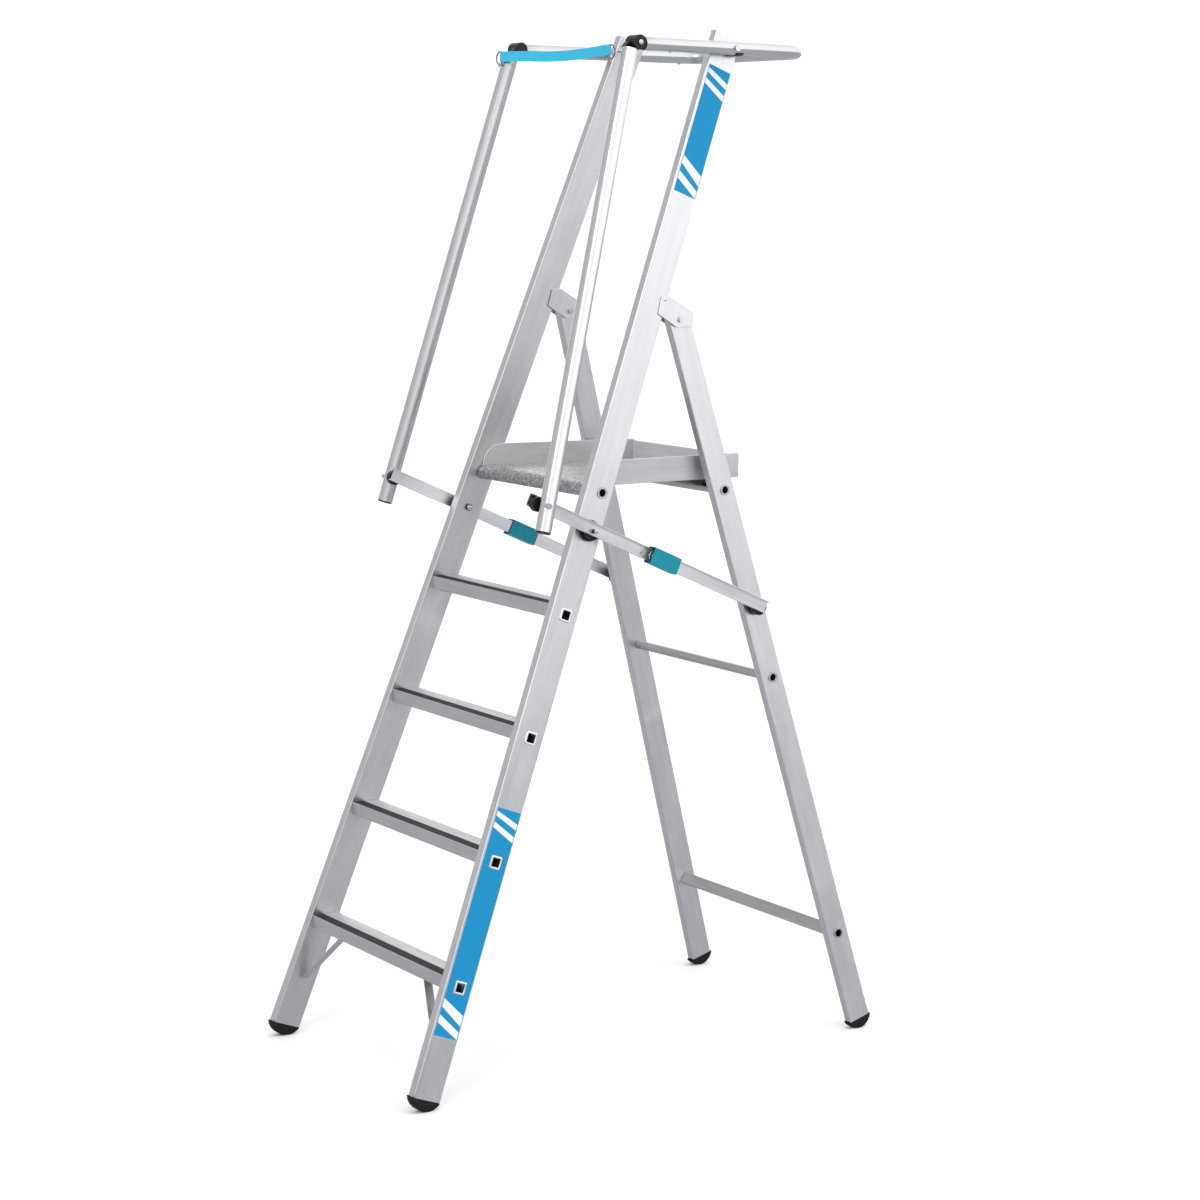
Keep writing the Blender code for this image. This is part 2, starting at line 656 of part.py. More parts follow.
def rear_bars(frame, side, name):
    """Drawn from the elbow, whose frame is its pivot."""
    start = -BAR_HIGH / 2
    end = BAR_REAR - ELBOW
    lifted = BAR_LIFT
    bar = channel_at_elbow(f"spreader_rear_{name}", frame, side, start, end)
    reach = (side * 0.28, side * 0.34)
    cut(bar, rod(0.004 + GAP, reach, (0, 0), 16), frame)
    shank = rod(0.004, (side * (FRONT_LAYER[0] - 0.0010), side * 0.3186), (0, 0), 16)
    rivet = add(f"elbow_rivet_{name}", shank, frame, STEEL)
    join(rivet, rod(0.0065, (side * (REAR_LAYER[0] + 0.0022 + GAP), side * 0.3125), (0, 0), 16), frame)
    return lifted


def channel_at_elbow(name, frame, side, start, end):
    half = BAR_HIGH / 2
    inner, outer = REAR_LAYER
    outline = [(end, -half), (end, half), *arc((0, 0), half, 90, 270, 8)]
    made = add(name, prism([outline], (side * inner, side * outer)), frame, ALUMINIUM)
    web = 0.0022
    cut(made, block((side * (inner + web), side * (outer + 0.01)), (start - 0.01, end + 0.01),
                    (-half + web, half - web)), frame)
    return made


def lock_sleeve(frame, side, name):
    """A closed rectangular tube that slides along the rear bar and covers the elbow."""
    start, end = SLEEVE[0] - ELBOW, SLEEVE[1] - ELBOW
    half = SLEEVE_HIGH / 2
    wall = 0.0015
    sleeve = add(f"lock_sleeve_{name}", block((side * SLEEVE_X[0], side * SLEEVE_X[1]), (start, end),
                                              (-half, half)), frame, TEAL)
    cut(sleeve, block((side * (SLEEVE_X[0] + wall), side * (SLEEVE_X[1] - wall)), (start - 0.01, end + 0.01),
                      (-half + wall, half - wall)), frame)


def spreaders():
    for side, name in LEFT_RIGHT:
        pivot = Frame(f"spreader_front_pivot_{name}", *SPREADER_PIVOT, -BAR_SLOPE)
        front_bars(pivot, side, name)
        elbow = Frame(f"spreader_elbow_{name}", *bar_point(ELBOW, BAR_LIFT), -BAR_SLOPE, parent=pivot)
        rear_bars(elbow, side, name)
        slide = Frame(f"lock_sleeve_slide_{name}", elbow.y, elbow.z, -BAR_SLOPE, parent=elbow)
        lock_sleeve(slide, side, name)


def rail_path():
    """Centre line of the rail: two arms and a rear run with round corners."""
    front = KNUCKLE[0] + 0.0195
    corner_y = RAIL_REAR_Y - RAIL_CORNER
    path = [(rail_half(y), y) for y in (front, RAIL_PIVOT[0], corner_y)]
    bend = arc((rail_half(corner_y) - RAIL_CORNER, corner_y), RAIL_CORNER, 15, 90, 5)
    path += bend
    return path + [(-x, y) for x, y in reversed(path)]


def guard_rail(frame):
    path = [(x, y - frame.y, RAIL_Z - frame.z) for x, y in rail_path()]
    rail = add("guard_rail", wire(path, RAIL_RADIUS, 8, False), frame, ALUMINIUM)
    centre = RAIL_Z - frame.z
    open_ends = [(side * rail_half(-0.03), -0.03 - frame.y, centre) for side in (1, -1)]
    cut(rail, wire([open_ends[0], *path[1:-1], open_ends[1]], RAIL_RADIUS - RAIL_WALL, 8, False), frame)
    for side, name in LEFT_RIGHT:
        cut(rail, rod(0.004 + 2 * GAP, (side * 0.20, side * 0.27), (0, 0), 16), frame)
        knuckle = frame.local(*KNUCKLE)
        plug = add(f"rail_knuckle_{name}", rod(0.017, (side * 0.2518, side * 0.2695), knuckle, 28),
                   frame, BLACK)
        back = Vector((side * rail_half(0.024), 0.024 - frame.y, centre))
        lead = Vector((side * rail_half(-0.0078), -0.0078 - frame.y, centre))
        join(plug, strut(0.0135, lead, back), frame)
        join(plug, block((side * 0.2522, side * 0.2650), (knuckle[0], -0.0072 - frame.y),
                         (centre - 0.0105, centre + 0.0105)), frame)
        cut(plug, rod(0.004 + GAP, (side * 0.22, side * 0.28), knuckle, 16), frame)


def posts():
    for side, name in LEFT_RIGHT:
        frame = Frame(f"post_pivot_{name}", *KNUCKLE, parent=RAIL_FRAME)
        low = Vector((side * POST_FOOT.x, POST_FOOT.y - frame.y, POST_FOOT.z - frame.z))
        head = Vector((side * POST_HEAD.x, POST_HEAD.y - frame.y, POST_HEAD.z - frame.z))
        along = (head - low).normalized()
        top = head - along * (0.0193 + head.dot(along) - head.x * along.x)
        post = add(f"post_{name}", strut(POST_RADIUS, low, top, 28), frame, ALUMINIUM)
        cut(post, strut(POST_RADIUS - POST_WALL, low - along * 0.01, top + along * 0.01, 28), frame)
        post_bolt(post, frame, side)
        strap_eye(post, frame, side)
        bottom = add(f"post_end_plug_{name}", strut(POST_RADIUS - POST_WALL - GAP, low - along * 0.001,
                                                    low + along * 0.020, 28), frame, BLACK)
        join(bottom, strut(POST_RADIUS - 0.001, low - along * 0.004, low - along * GAP, 28), frame)
        knuckle(f"post_knuckle_{name}", frame, side, top, along)
        if side < 0:
            strap(frame)


def post_bolt(post, frame, side):
    """The bolt head on the post's outer face where the spreader's plug meets it."""
    y, z = bar_point(LATCH_PIVOT)
    at = (y - frame.y, z - frame.z)
    join(post, rod(0.0065, (side * 0.3600, side * 0.3745), at, 12), frame)


def knuckle(name, frame, side, top, along):
    """A plug in the post's top with a half-width disc, pinned to the rail's disc."""
    plug = add(name, strut(POST_RADIUS - POST_WALL - GAP, top - along * 0.020, top + along * 0.0008, 28),
               frame, BLACK)
    join(plug, rod(0.017, (side * 0.2335, side * 0.2512), (0, 0), 28), frame)
    slope = math.atan2(along.z, along.y)
    u = Vector((math.cos(slope), math.sin(slope)))
    v = Vector((math.sin(slope), -math.cos(slope)))
    base = Vector((top.y, top.z))
    corners = [base - v * 0.014 + u * 0.0004, base + v * 0.0155 + u * 0.0004, v * 0.0165,
               u * 0.010 - v * 0.010]
    corners = [tuple(corner) for corner in corners]
    join(plug, prism([corners], (side * 0.2345, side * 0.2512)), frame)
    join(plug, rod(0.004, (side * 0.24, side * 0.2722), (0, 0), 16), frame)
    join(plug, rod(0.0065, (side * 0.2698, side * 0.2722), (0, 0), 16), frame)


def wire(points, radius, resolution, cyclic):
    """A round bar along points."""
    curve = bpy.data.curves.new("wire", "CURVE")
    curve.dimensions = "3D"
    curve.bevel_depth = radius
    curve.bevel_resolution = resolution
    curve.use_fill_caps = not cyclic
    spline = curve.splines.new("POLY")
    spline.points.add(len(points) - 1)
    spline.use_cyclic_u = cyclic
    for point, place_at in zip(spline.points, points):
        point.co = (*place_at, 1.0)
    helper = bpy.data.objects.new("wire", curve)
    mesh = bpy.data.meshes.new_from_object(helper)
    bpy.data.objects.remove(helper)
    bm = bmesh.new()
    bm.from_mesh(mesh)
    bmesh.ops.remove_doubles(bm, verts=bm.verts, dist=1e-6)
    bmesh.ops.recalc_face_normals(bm, faces=bm.faces)
    return mesh_of(bm)


def d_ring(name, frame, x, way):
    """A wire D whose straight bar carries the strap. The bow points away from the strap."""
    y, z = STRAP_Y - frame.y, STRAP_Z - frame.z
    angles = [math.radians(a) for a in range(-80, 81, 20)]
    bow = [(x - way * (0.007 + STRAP_RING * math.cos(a)), y, z + STRAP_RING * math.sin(a)) for a in angles]
    corners = [(x - way * 0.0015, y, z + STRAP_RING), (x, y, z + STRAP_RING - 0.0015),
               (x, y, z - STRAP_RING + 0.0015), (x - way * 0.0015, y, z - STRAP_RING)]
    return add(name, wire([*bow, *corners], 0.0018, 2, True), frame, STEEL)


def band_end(x, y, way, radius, start):
    """Half circle that closes a strap end, from one face round to the other."""
    return arc((x, y), radius, start, start - way * 180, 8)


def strap(frame):
    """Webbing across the open front, looped on a wire ring at each end."""
    y = STRAP_Y - frame.y
    band = STRAP_THICK / 2
    left, right = -0.2500, 0.2130
    loop = 0.0042
    outline = [(left + 0.014, y + band), (right - 0.014, y + band), *band_end(right, y, 1, loop, 90),
               (right - 0.014, y - band), (left + 0.014, y - band), *band_end(left, y, 1, loop, 270)]
    holes = []
    for x, way in ((left, 1), (right, -1)):
        inner = loop - STRAP_THICK
        holes.append([*arc((x, y), inner, 90 if way > 0 else -90, 270 if way > 0 else 90, 6),
                      (x + way * 0.008, y)])
    z = STRAP_Z - frame.z
    half = STRAP_HIGH / 2
    web = add("safety_strap", prism([outline], (z - half, z + half), "Z"), frame, WEBBING)
    for hole in holes:
        cut(web, prism([hole], (z - half - 0.01, z + half + 0.01), "Z"), frame)
    d_ring("strap_ring_left", frame, left, 1)
    d_ring("strap_ring_right", frame, right, -1)


def strap_eye(post, frame, side):
    """A wire eye on the post's front that holds the strap's ring."""
    if side < 0:
        centre, tilt = (-0.2570, STRAP_Z - STRAP_RING), "Y"
    else:
        centre, tilt = (0.2130 + 0.007 + STRAP_RING, STRAP_Z), "Z"
    bm = bmesh.new()
    verts = [bm.verts.new((0.0052 + u, 0.0, v)) for u, v in arc((0, 0), 0.0014, 0, 288, 4)]
    edges = [bm.edges.new((verts[i], verts[i - 1])) for i in range(len(verts))]
    bmesh.ops.spin(bm, geom=verts + edges, axis=(0, 0, 1), cent=(0, 0, 0), angle=math.tau, steps=12,
                   use_merge=True)
    bmesh.ops.recalc_face_normals(bm, faces=bm.faces)
    turn = Matrix.Rotation(math.pi / 2, 4, "Y") if tilt == "Y" else Matrix.Identity(4)
    place_at = Matrix.Translation((centre[0], STRAP_Y + 0.0012 - frame.y, centre[1] - frame.z))
    bm.transform(place_at @ turn)
    join(post, mesh_of(bm), frame)
    back = -0.0668 if side < 0 else -0.0505
    start = (centre[0], STRAP_Y + 0.0060 - frame.y, centre[1] - frame.z)
    join(post, strut(0.0019, start, (centre[0], back - frame.y, centre[1] - frame.z), 10), frame)


def main():
    front = Frame("front_frame_plane", FRONT_FOOT_Y, 0.0, FRONT_LEAN, (0.0, FRONT_TAPER))
    front_frame(front)
    treads(front)
    braces(front)
    hinge_brackets(front)
    spreader_pivots(front)
    rail_pivots(front)
    rear_pivot = Frame("rear_frame_pivot", *LEG_PIVOT)
    rear = Frame("rear_frame_plane", REAR_FOOT_Y, 0.0, REAR_LEAN, (0.0, REAR_TAPER), rear_pivot)
    rear_frame(rear)
    platform(Frame("platform_pivot", *DECK_PIVOT, 0.0, (SIDE_TAPER, 0.0)))
    spreaders()
    guard_rail(RAIL_FRAME)
    posts()
    taper_all()


clear_scene()
TAPERED = {}
PARTS = collection(NAME)
CUTTERS = collection("cutters")
RAIL_FRAME = Frame("guard_rail_pivot", *RAIL_PIVOT)
main()
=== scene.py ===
"""Looks for the platform step ladder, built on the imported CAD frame. Metres, +Z up, front at -Y."""

import math

import bmesh
import bpy
from mathutils import Matrix, Vector
from mathutils import noise as noise_of


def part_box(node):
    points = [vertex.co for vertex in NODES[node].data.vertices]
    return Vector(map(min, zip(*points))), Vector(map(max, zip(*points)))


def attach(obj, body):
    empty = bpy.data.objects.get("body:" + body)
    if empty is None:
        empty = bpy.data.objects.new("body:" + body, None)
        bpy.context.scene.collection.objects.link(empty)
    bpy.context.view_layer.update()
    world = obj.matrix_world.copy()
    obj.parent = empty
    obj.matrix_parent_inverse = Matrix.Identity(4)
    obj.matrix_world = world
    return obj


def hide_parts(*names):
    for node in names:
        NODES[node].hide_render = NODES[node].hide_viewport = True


LEFT_RIGHT = ((-1, "left"), (1, "right"))

# The front frame's plane, and its stiles' outer faces: depth is across a stile, reach is up its slope.
LEAN = math.radians(20.28)
FOOT_Y = -0.6627
FRONT_HALF = 0.3515
FRONT_TAPER = 0.0552

# Directions that the grain of the metal follows.
ALONG_STILE = Vector((0, math.sin(LEAN), math.cos(LEAN)))
ALONG_LEG = Vector((0, math.sin(math.radians(-16.53)), math.cos(math.radians(-16.53))))
ALONG_BAR = Vector((0, math.cos(math.radians(23.5)), -math.sin(math.radians(23.5))))
ALONG_X = Vector((1, 0, 0))
ALONG_Y = Vector((0, 1, 0))
UP = Vector((0, 0, 1))

# Guard rail: the corners of its right side's centre line as (x, y), the radius round the back corner, and
# how much its rear half narrows for each metre back.
RAIL_Z = 2.3700
RAIL_RADIUS = 0.0155
RAIL_WALL = 0.0013
RAIL_FRONT = (0.2520, -0.0068)
RAIL_MIDDLE = (0.2312, 0.2600)
RAIL_REAR = (0.2160, 0.4240)
RAIL_CORNER = 0.060
RAIL_TAPER = 0.0927
RAIL_BUTTON = (0.2459, 0.072)
TUBE_SIDES = 40
TUBE_BORE = 0.03

# The right post's axis, and (y, z) of the pin through each knuckle.
POST_FOOT = Vector((0.3567, -0.3276, 1.2880))
POST_HEAD = Vector((0.2511, -0.0401, 2.3700))
KNUCKLE_AT = (-0.0263, 2.3716)

# Labels on the near stile, as reach from and to, and the treads' square collars left clear. The stripes'
# edges are reaches from the label's near end: front low, front high, rear low, rear high.
LABELS = {"label_lower": (0.186, 0.712, (0.3008, 0.5908)), "label_upper": (2.182, 2.491, ())}
LABEL_DEPTH = (0.0062, 0.0702)
COLLAR_DEPTH = 0.0395
COLLAR_REACH = (0.3008, 0.5908, 0.8808, 1.1707)
COLLAR_HALF = 0.0152
LABEL_PROUD = 0.00012
LABEL_RIM = 0.0012
STRIPES_LOW = ((0.030, 0.048, 0.001, 0.018), (0.066, 0.085, 0.031, 0.0556))
STRIPES_HIGH = ((0.0195, 0.0080, 0.0400, 0.0265), (0.0460, 0.0335, 0.0695, 0.0555))

# Deck: the (y, z) centre and the radius of the curl at its front edge, its half width there, and its dents.
DECK_CURL_AT = (-0.1132, 1.3567)
DECK_CURL = 0.020
DECK_CURL_TURN = 125
DECK_REAR = 0.3060
DECK_HALF = 0.2402
DECK_TAPER = 0.0552
DECK_THICK = 0.0028
DECK_SPACING = 0.0016
DECK_COLUMNS = 320
DENT_PITCH = 0.0080
DENT_DEPTH = 0.0011

# Strap: the (x, z) of the rings' bars that it loops round, and of its dip between them.
STRAP_Y = -0.0725
STRAP_LEFT = (-0.2500, 2.3535)
STRAP_RIGHT = (0.2130, 2.3545)
STRAP_SAG = ((-0.1420, 2.3515), (-0.0550, 2.3478), (0.0310, 2.3470), (0.1150, 2.3495))
STRAP_LOOP = 0.0033
STRAP_WIDTH = 0.0236

DOME_SIDES = 20
EYELET_SIDES = 28

# Shading and bevels: the angles of a sharp edge and of a profile's corner, in degrees, and a long edge.
SHARP = 32
CORNER = 60
LONG_EDGE = 0.30

# Stage. A lamp is its name, its place, the angle it fills and its strength.
LAMPS = (("key", (3.4, -4.4, 3.8), 24, 0.62), ("fill", (-2.0, 5.0, 5.0), 70, 0.18))
BRIGHT_SIDE = (0.80, 0.55, 0.24)
PANEL_SIDE = (-0.82, 0.57, 0.0)
SKY_GREYS = ((0.04, 0.60), (0.35, 0.74), (0.66, 1.00), (0.98, 1.55))
CAMERA_PLACE = (5.5751, -3.6648, 2.0350)
CAMERA_AZIMUTH, CAMERA_DIP, CAMERA_ROLL = 0.9811, 0.1439, 0.0141
CAMERA_LENS = 84.315

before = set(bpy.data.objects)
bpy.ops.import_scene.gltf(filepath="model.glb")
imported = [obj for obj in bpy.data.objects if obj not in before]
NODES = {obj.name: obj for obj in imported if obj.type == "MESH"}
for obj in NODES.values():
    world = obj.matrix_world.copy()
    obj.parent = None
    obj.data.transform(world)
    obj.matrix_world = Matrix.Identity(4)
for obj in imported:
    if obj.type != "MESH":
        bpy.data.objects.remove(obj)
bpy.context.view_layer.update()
MATERIALS = {}


# ---------------------------------------------------------------- materials


def adder(tree):
    """A function that adds a node to a tree, with its settings, its input values and its links."""

    def add(kind, links=(), inputs=(), **settings):
        node = tree.nodes.new(kind)
        for key, value in settings.items():
            setattr(node, key, value)
        for socket, value in inputs:
            node.inputs[socket].default_value = value
        for socket, source in links:
            tree.links.new(source, node.inputs[socket])
        return node

    return add


def new_material(name):
    """Makes a material, and gives its Principled shader and the function that adds nodes to it."""
    material = bpy.data.materials.new(name)
    material.use_nodes = True
    MATERIALS[name] = material
    tree = material.node_tree
    return tree.nodes["Principled BSDF"], adder(tree)


def feed(shader, socket, source):
    """Links a node's output to one of the shader's sockets."""
    shader.id_data.links.new(source, shader.inputs[socket])


def ramp(add, source, stops):
    """Colour ramp of (position, grey or colour) stops."""
    node = add("ShaderNodeValToRGB", [("Fac", source)])
    elements = node.color_ramp.elements
    while len(elements) < len(stops):
        elements.new(0.5)
    for element, (position, value) in zip(elements, stops):
        element.position = position
        colour = (value, value, value) if isinstance(value, (int, float)) else value
        element.color = (*colour, 1)
    return node.outputs["Color"]


def stretched(add, along, long, across):
    """Coordinates in which a pattern is drawn out along one direction."""
    turn = along.to_track_quat("X", "Z").to_euler()
    place = add("ShaderNodeTexCoord").outputs["Object"]
    inputs = [("Rotation", turn), ("Scale", (long, across, across))]
    return add("ShaderNodeMapping", [("Vector", place)], inputs, vector_type="TEXTURE").outputs["Vector"]


def noise(add, vector, scale, detail=3.0, roughness=0.5):
    inputs = [("Scale", scale), ("Detail", detail), ("Roughness", roughness)]
    return add("ShaderNodeTexNoise", [("Vector", vector)], inputs).outputs["Fac"]


def bump(add, height, strength, distance, normal=None):
    links = [("Height", height)] + ([("Normal", normal)] if normal else [])
    return add("ShaderNodeBump", links, [("Strength", strength), ("Distance", distance)]).outputs["Normal"]


def multiply(add, one, two):
    """Two colours or greys, multiplied."""
    node = add("ShaderNodeMix", [(6, one), (7, two)], [(0, 1.0)], data_type="RGBA", blend_type="MULTIPLY")
    return node.outputs[2]


def blend(add, factor, source, colour):
    """The source, turned into one plain colour as the factor goes from 0 to 1."""
    node = add("ShaderNodeMix", [(0, factor), (6, source)], [(7, (*colour, 1))], data_type="RGBA")
    return node.outputs[2]


def metal(name, along, dark, light, rough, grain=0.5, tint=(1.0, 1.0, 1.015)):
    """Extruded or drawn metal: fine lines along the profile, slow clouding, and scattered handling marks."""
    shader, add = new_material(name)
    lines = noise(add, stretched(add, along, 0.9, 0.0011), 1.0, 4.0, 0.6)
    bands = noise(add, stretched(add, along, 2.5, 0.010), 1.0, 2.0)
    cloud = noise(add, stretched(add, along, 0.16, 0.045), 1.0, 3.0, 0.55)
    specks = noise(add, stretched(add, along, 0.004, 0.0022), 1.0, 2.0)
    low = [dark * part for part in tint]
    high = [light * part for part in tint]
    colour = ramp(add, cloud, [(0.25, low), (0.75, high)])
    colour = multiply(add, colour, ramp(add, lines, [(0.25, 1 - 0.22 * grain), (0.7, 1.0)]))
    colour = multiply(add, colour, ramp(add, bands, [(0.3, 0.94), (0.65, 1.0)]))
    colour = multiply(add, colour, ramp(add, specks, [(0.2, 0.92), (0.30, 1.0)]))
    feed(shader, "Base Color", colour)
    rise = ramp(add, lines, [(0.2, rough - 0.06), (0.8, rough + 0.08)])
    patches = ramp(add, cloud, [(0.3, 0.88), (0.7, 1.08)])
    feed(shader, "Roughness", multiply(add, rise, patches))
    feed(shader, "Normal", bump(add, lines, 0.22 * grain, 0.00012))
    shader.inputs["Metallic"].default_value = 1.0
    shader.inputs["Anisotropic"].default_value = 0.45


def moulded(name, colour, rough, spread=0.12, specular=0.5):
    """Injection-moulded plastic or rubber: fine spark-eroded texture, faint flow and scuffs."""
    shader, add = new_material(name)
    place = add("ShaderNodeTexCoord").outputs["Object"]
    fine = noise(add, place, 1400.0, 2.0)
    flow = noise(add, place, 38.0, 3.0)
    scuffs = noise(add, place, 260.0, 4.0, 0.7)
    low = [part * (1 - spread) for part in colour]
    high = [min(1.0, part * (1 + spread)) for part in colour]
    worn = [min(1.0, part * 1.15 + 0.008) for part in colour]
    tone = ramp(add, flow, [(0.3, low), (0.7, high)])
    marks = ramp(add, scuffs, [(0.62, 0.0), (0.80, 0.55)])
    feed(shader, "Base Color", blend(add, marks, tone, worn))
    feed(shader, "Roughness", ramp(add, scuffs, [(0.3, rough - 0.05), (0.8, rough + 0.12)]))
    feed(shader, "Normal", bump(add, fine, 0.25, 0.00015))
    shader.inputs["Specular IOR Level"].default_value = specular


def printed(name, colour):
    """Printed film on a label: even ink with a faint mottle and a soft sheen."""
    shader, add = new_material(name)
    place = add("ShaderNodeTexCoord").outputs["Object"]
    mottle = noise(add, place, 420.0, 3.0)
    wear = noise(add, stretched(add, ALONG_STILE, 0.05, 0.004), 1.0, 4.0, 0.65)
    tone = ramp(add, mottle, [(0.3, [part * 0.95 for part in colour]), (0.7, colour)])
    tone = multiply(add, tone, ramp(add, wear, [(0.22, 0.86), (0.34, 1.0)]))
    feed(shader, "Base Color", tone)
    feed(shader, "Roughness", ramp(add, wear, [(0.3, 0.57), (0.7, 0.45)]))
    feed(shader, "Normal", bump(add, mottle, 0.08, 0.00008))
    shader.inputs["Specular IOR Level"].default_value = 0.2


def webbing(name, colour, along):
    """Woven strap: warp ribs across the width and weft picks along it, with painted shade in the weave's low
    parts.
    """
    shader, add = new_material(name)
    place = add("ShaderNodeTexCoord").outputs["Object"]
    split = add("ShaderNodeSeparateXYZ", [("Vector", place)])
    waves = []
    for axis, pitch in (("X", 0.0021), ("Z", 0.0016)):
        turns = [(1, 2 * math.pi / pitch)]
        scaled = add("ShaderNodeMath", [(0, split.outputs[axis])], turns, operation="MULTIPLY")
        waves.append(add("ShaderNodeMath", [(0, scaled.outputs[0])], operation="SINE").outputs[0])
    weave = add("ShaderNodeMath", list(enumerate(waves)), operation="MULTIPLY").outputs[0]
    lift = add("ShaderNodeMath", [(0, weave)], [(1, 0.5), (2, 0.5)], operation="MULTIPLY_ADD").outputs[0]
    fibre = noise(add, stretched(add, along, 0.006, 0.0004), 1.0, 3.0)
    soft = noise(add, place, 60.0, 3.0)
    # The weave's low parts are painted up to 28% darker: painted shade in its hollows.
    tone = ramp(add, lift, [(0.1, [part * 0.72 for part in colour]), (0.8, colour)])
    tone = multiply(add, tone, ramp(add, fibre, [(0.3, 0.84), (0.7, 1.0)]))
    tone = multiply(add, tone, ramp(add, soft, [(0.3, 0.92), (0.7, 1.0)]))
    feed(shader, "Base Color", tone)
    feed(shader, "Normal", bump(add, lift, 0.6, 0.0004))
    shader.inputs["Roughness"].default_value = 0.85
    shader.inputs["Sheen Weight"].default_value = 0.1
    shader.inputs["Specular IOR Level"].default_value = 0.2


def hammered(name):
    """Hammered sheet: a pebbled pattern over rolled aluminium, painted bright in each pebble's middle and
    painted shade, down to half as bright, at its rim.
    """
    shader, add = new_material(name)
    place = add("ShaderNodeTexCoord").outputs["Object"]
    pebble = add("ShaderNodeTexVoronoi", [("Vector", place)], [("Scale", 130.0)]).outputs["Distance"]
    grit = noise(add, place, 320.0, 4.0, 0.7)
    cloud = noise(add, place, 14.0, 3.0)
    colour = ramp(add, cloud, [(0.3, [0.60, 0.60, 0.61]), (0.7, [0.68, 0.68, 0.69])])
    # Painted light and shade: bright in each pebble's middle, half as bright at its rim.
    colour = multiply(add, colour, ramp(add, pebble, [(0.1, 1.0), (0.7, 0.50)]))
    colour = multiply(add, colour, ramp(add, grit, [(0.3, 0.70), (0.65, 1.0)]))
    feed(shader, "Base Color", colour)
    feed(shader, "Roughness", ramp(add, grit, [(0.25, 0.26), (0.75, 0.46)]))
    feed(shader, "Normal", bump(add, grit, 0.35, 0.0002, bump(add, pebble, 0.5, 0.0004)))
    shader.inputs["Metallic"].default_value = 1.0


metal("stile_metal", ALONG_STILE, 0.63, 0.71, 0.36)
metal("leg_metal", ALONG_LEG, 0.62, 0.70, 0.36)
metal("cross_metal", ALONG_X, 0.56, 0.65, 0.36)
metal("tube_metal", ALONG_X, 0.42, 0.52, 0.30, 0.4)
metal("bar_metal", ALONG_BAR, 0.76, 0.83, 0.32)
metal("collar_metal", ALONG_STILE, 0.80, 0.86, 0.30, 0.2)
# The toe board's aluminium is painted far brighter than the rest: painted light on a board that lies in
# shade.
metal("toe_metal_painted_bright", ALONG_X, 0.93, 0.98, 0.55, 0.3)
metal("plate_metal", ALONG_Y, 0.60, 0.70, 0.36, 0.9)
hammered("deck_metal")
metal("post_metal", (POST_HEAD - POST_FOOT).normalized(), 0.60, 0.64, 0.20, 0.12)
metal("rail_metal", ALONG_Y, 0.54, 0.58, 0.22, 0.1)
metal("ring_metal", ALONG_X, 0.16, 0.24, 0.20, 0.1, (1.0, 1.0, 1.0))
metal("steel", ALONG_X, 0.50, 0.62, 0.26, 0.2, (1.0, 1.0, 1.0))
metal("rivet_metal", ALONG_X, 0.46, 0.58, 0.34, 0.2, (1.0, 0.97, 0.94))
moulded("black", (0.006, 0.006, 0.0065), 0.34, 0.12, 0.28)
moulded("rubber", (0.006, 0.006, 0.006), 0.66, 0.2, 0.2)
moulded("grip_black", (0.020, 0.020, 0.022), 0.62, 0.2, 0.3)
moulded("grey", (0.35, 0.36, 0.38), 0.48)
moulded("teal", (0.001, 0.200, 0.268), 0.40, 0.08, 0.22)
moulded("thread", (0.03, 0.30, 0.66), 0.8)
printed("label_blue", (0.001, 0.215, 0.430))
printed("label_white", (0.66, 0.68, 0.70))
webbing("webbing_blue", (0.040, 0.58, 0.88), ALONG_X)

FINISH = {
    "stile_": "stile_metal", "hinge_bracket_": "stile_metal", "rear_leg_": "leg_metal",
    "step_brace_": "cross_metal", "front_cross_tube": "tube_metal", "rear_top_tube": "tube_metal",
    "rear_middle_tube": "tube_metal", "rear_bottom_bar": "tube_metal",
    "platform_side_": "plate_metal", "platform_toe_board": "toe_metal_painted_bright", "platform_deck": "deck_metal",
    "platform_hook_": "black", "guard_rail": "rail_metal", "post_left": "post_metal",
    "post_right": "post_metal", "post_end_plug_": "black", "post_pivot_plug_": "black",
    "post_knuckle_": "black", "rail_knuckle_": "black", "leg_pivot_bolt_": "steel",
    "rail_pivot_bolt_": "steel", "spreader_pivot_": "black", "spreader_front_": "bar_metal",
    "spreader_rear_": "bar_metal", "elbow_rivet_": "rivet_metal", "lock_sleeve_": "teal",
    "front_foot_": "rubber", "rear_foot_": "rubber", "rear_spacer_": "black", "strap_ring_": "ring_metal",
    "safety_strap": "webbing_blue"}
BEVELS = {
    "stile_": 0.0026, "rear_leg_": 0.0024, "step_brace": 0.0004, "step_": 0.0012, "platform_side_": 0.0010,
    "platform_toe_board": 0.0008, "hinge_bracket_": 0.0014, "front_foot_": 0.0022,
    "rear_foot_": 0.0022, "lock_sleeve_": 0.0004, "spreader_front_": 0.0006,
    "spreader_rear_": 0.0006, "rear_bottom_bar": 0.0012, "platform_hook_": 0.0010}


def finish_of(name):
    """The name of the material of a CAD node."""
    if name.startswith("step_") and name[5].isdigit():
        return "grip_black" if name.endswith("_grip") else "cross_metal"
    return next(value for key, value in FINISH.items() if name.startswith(key))


# ---------------------------------------------------------------- the CAD nodes' surfaces


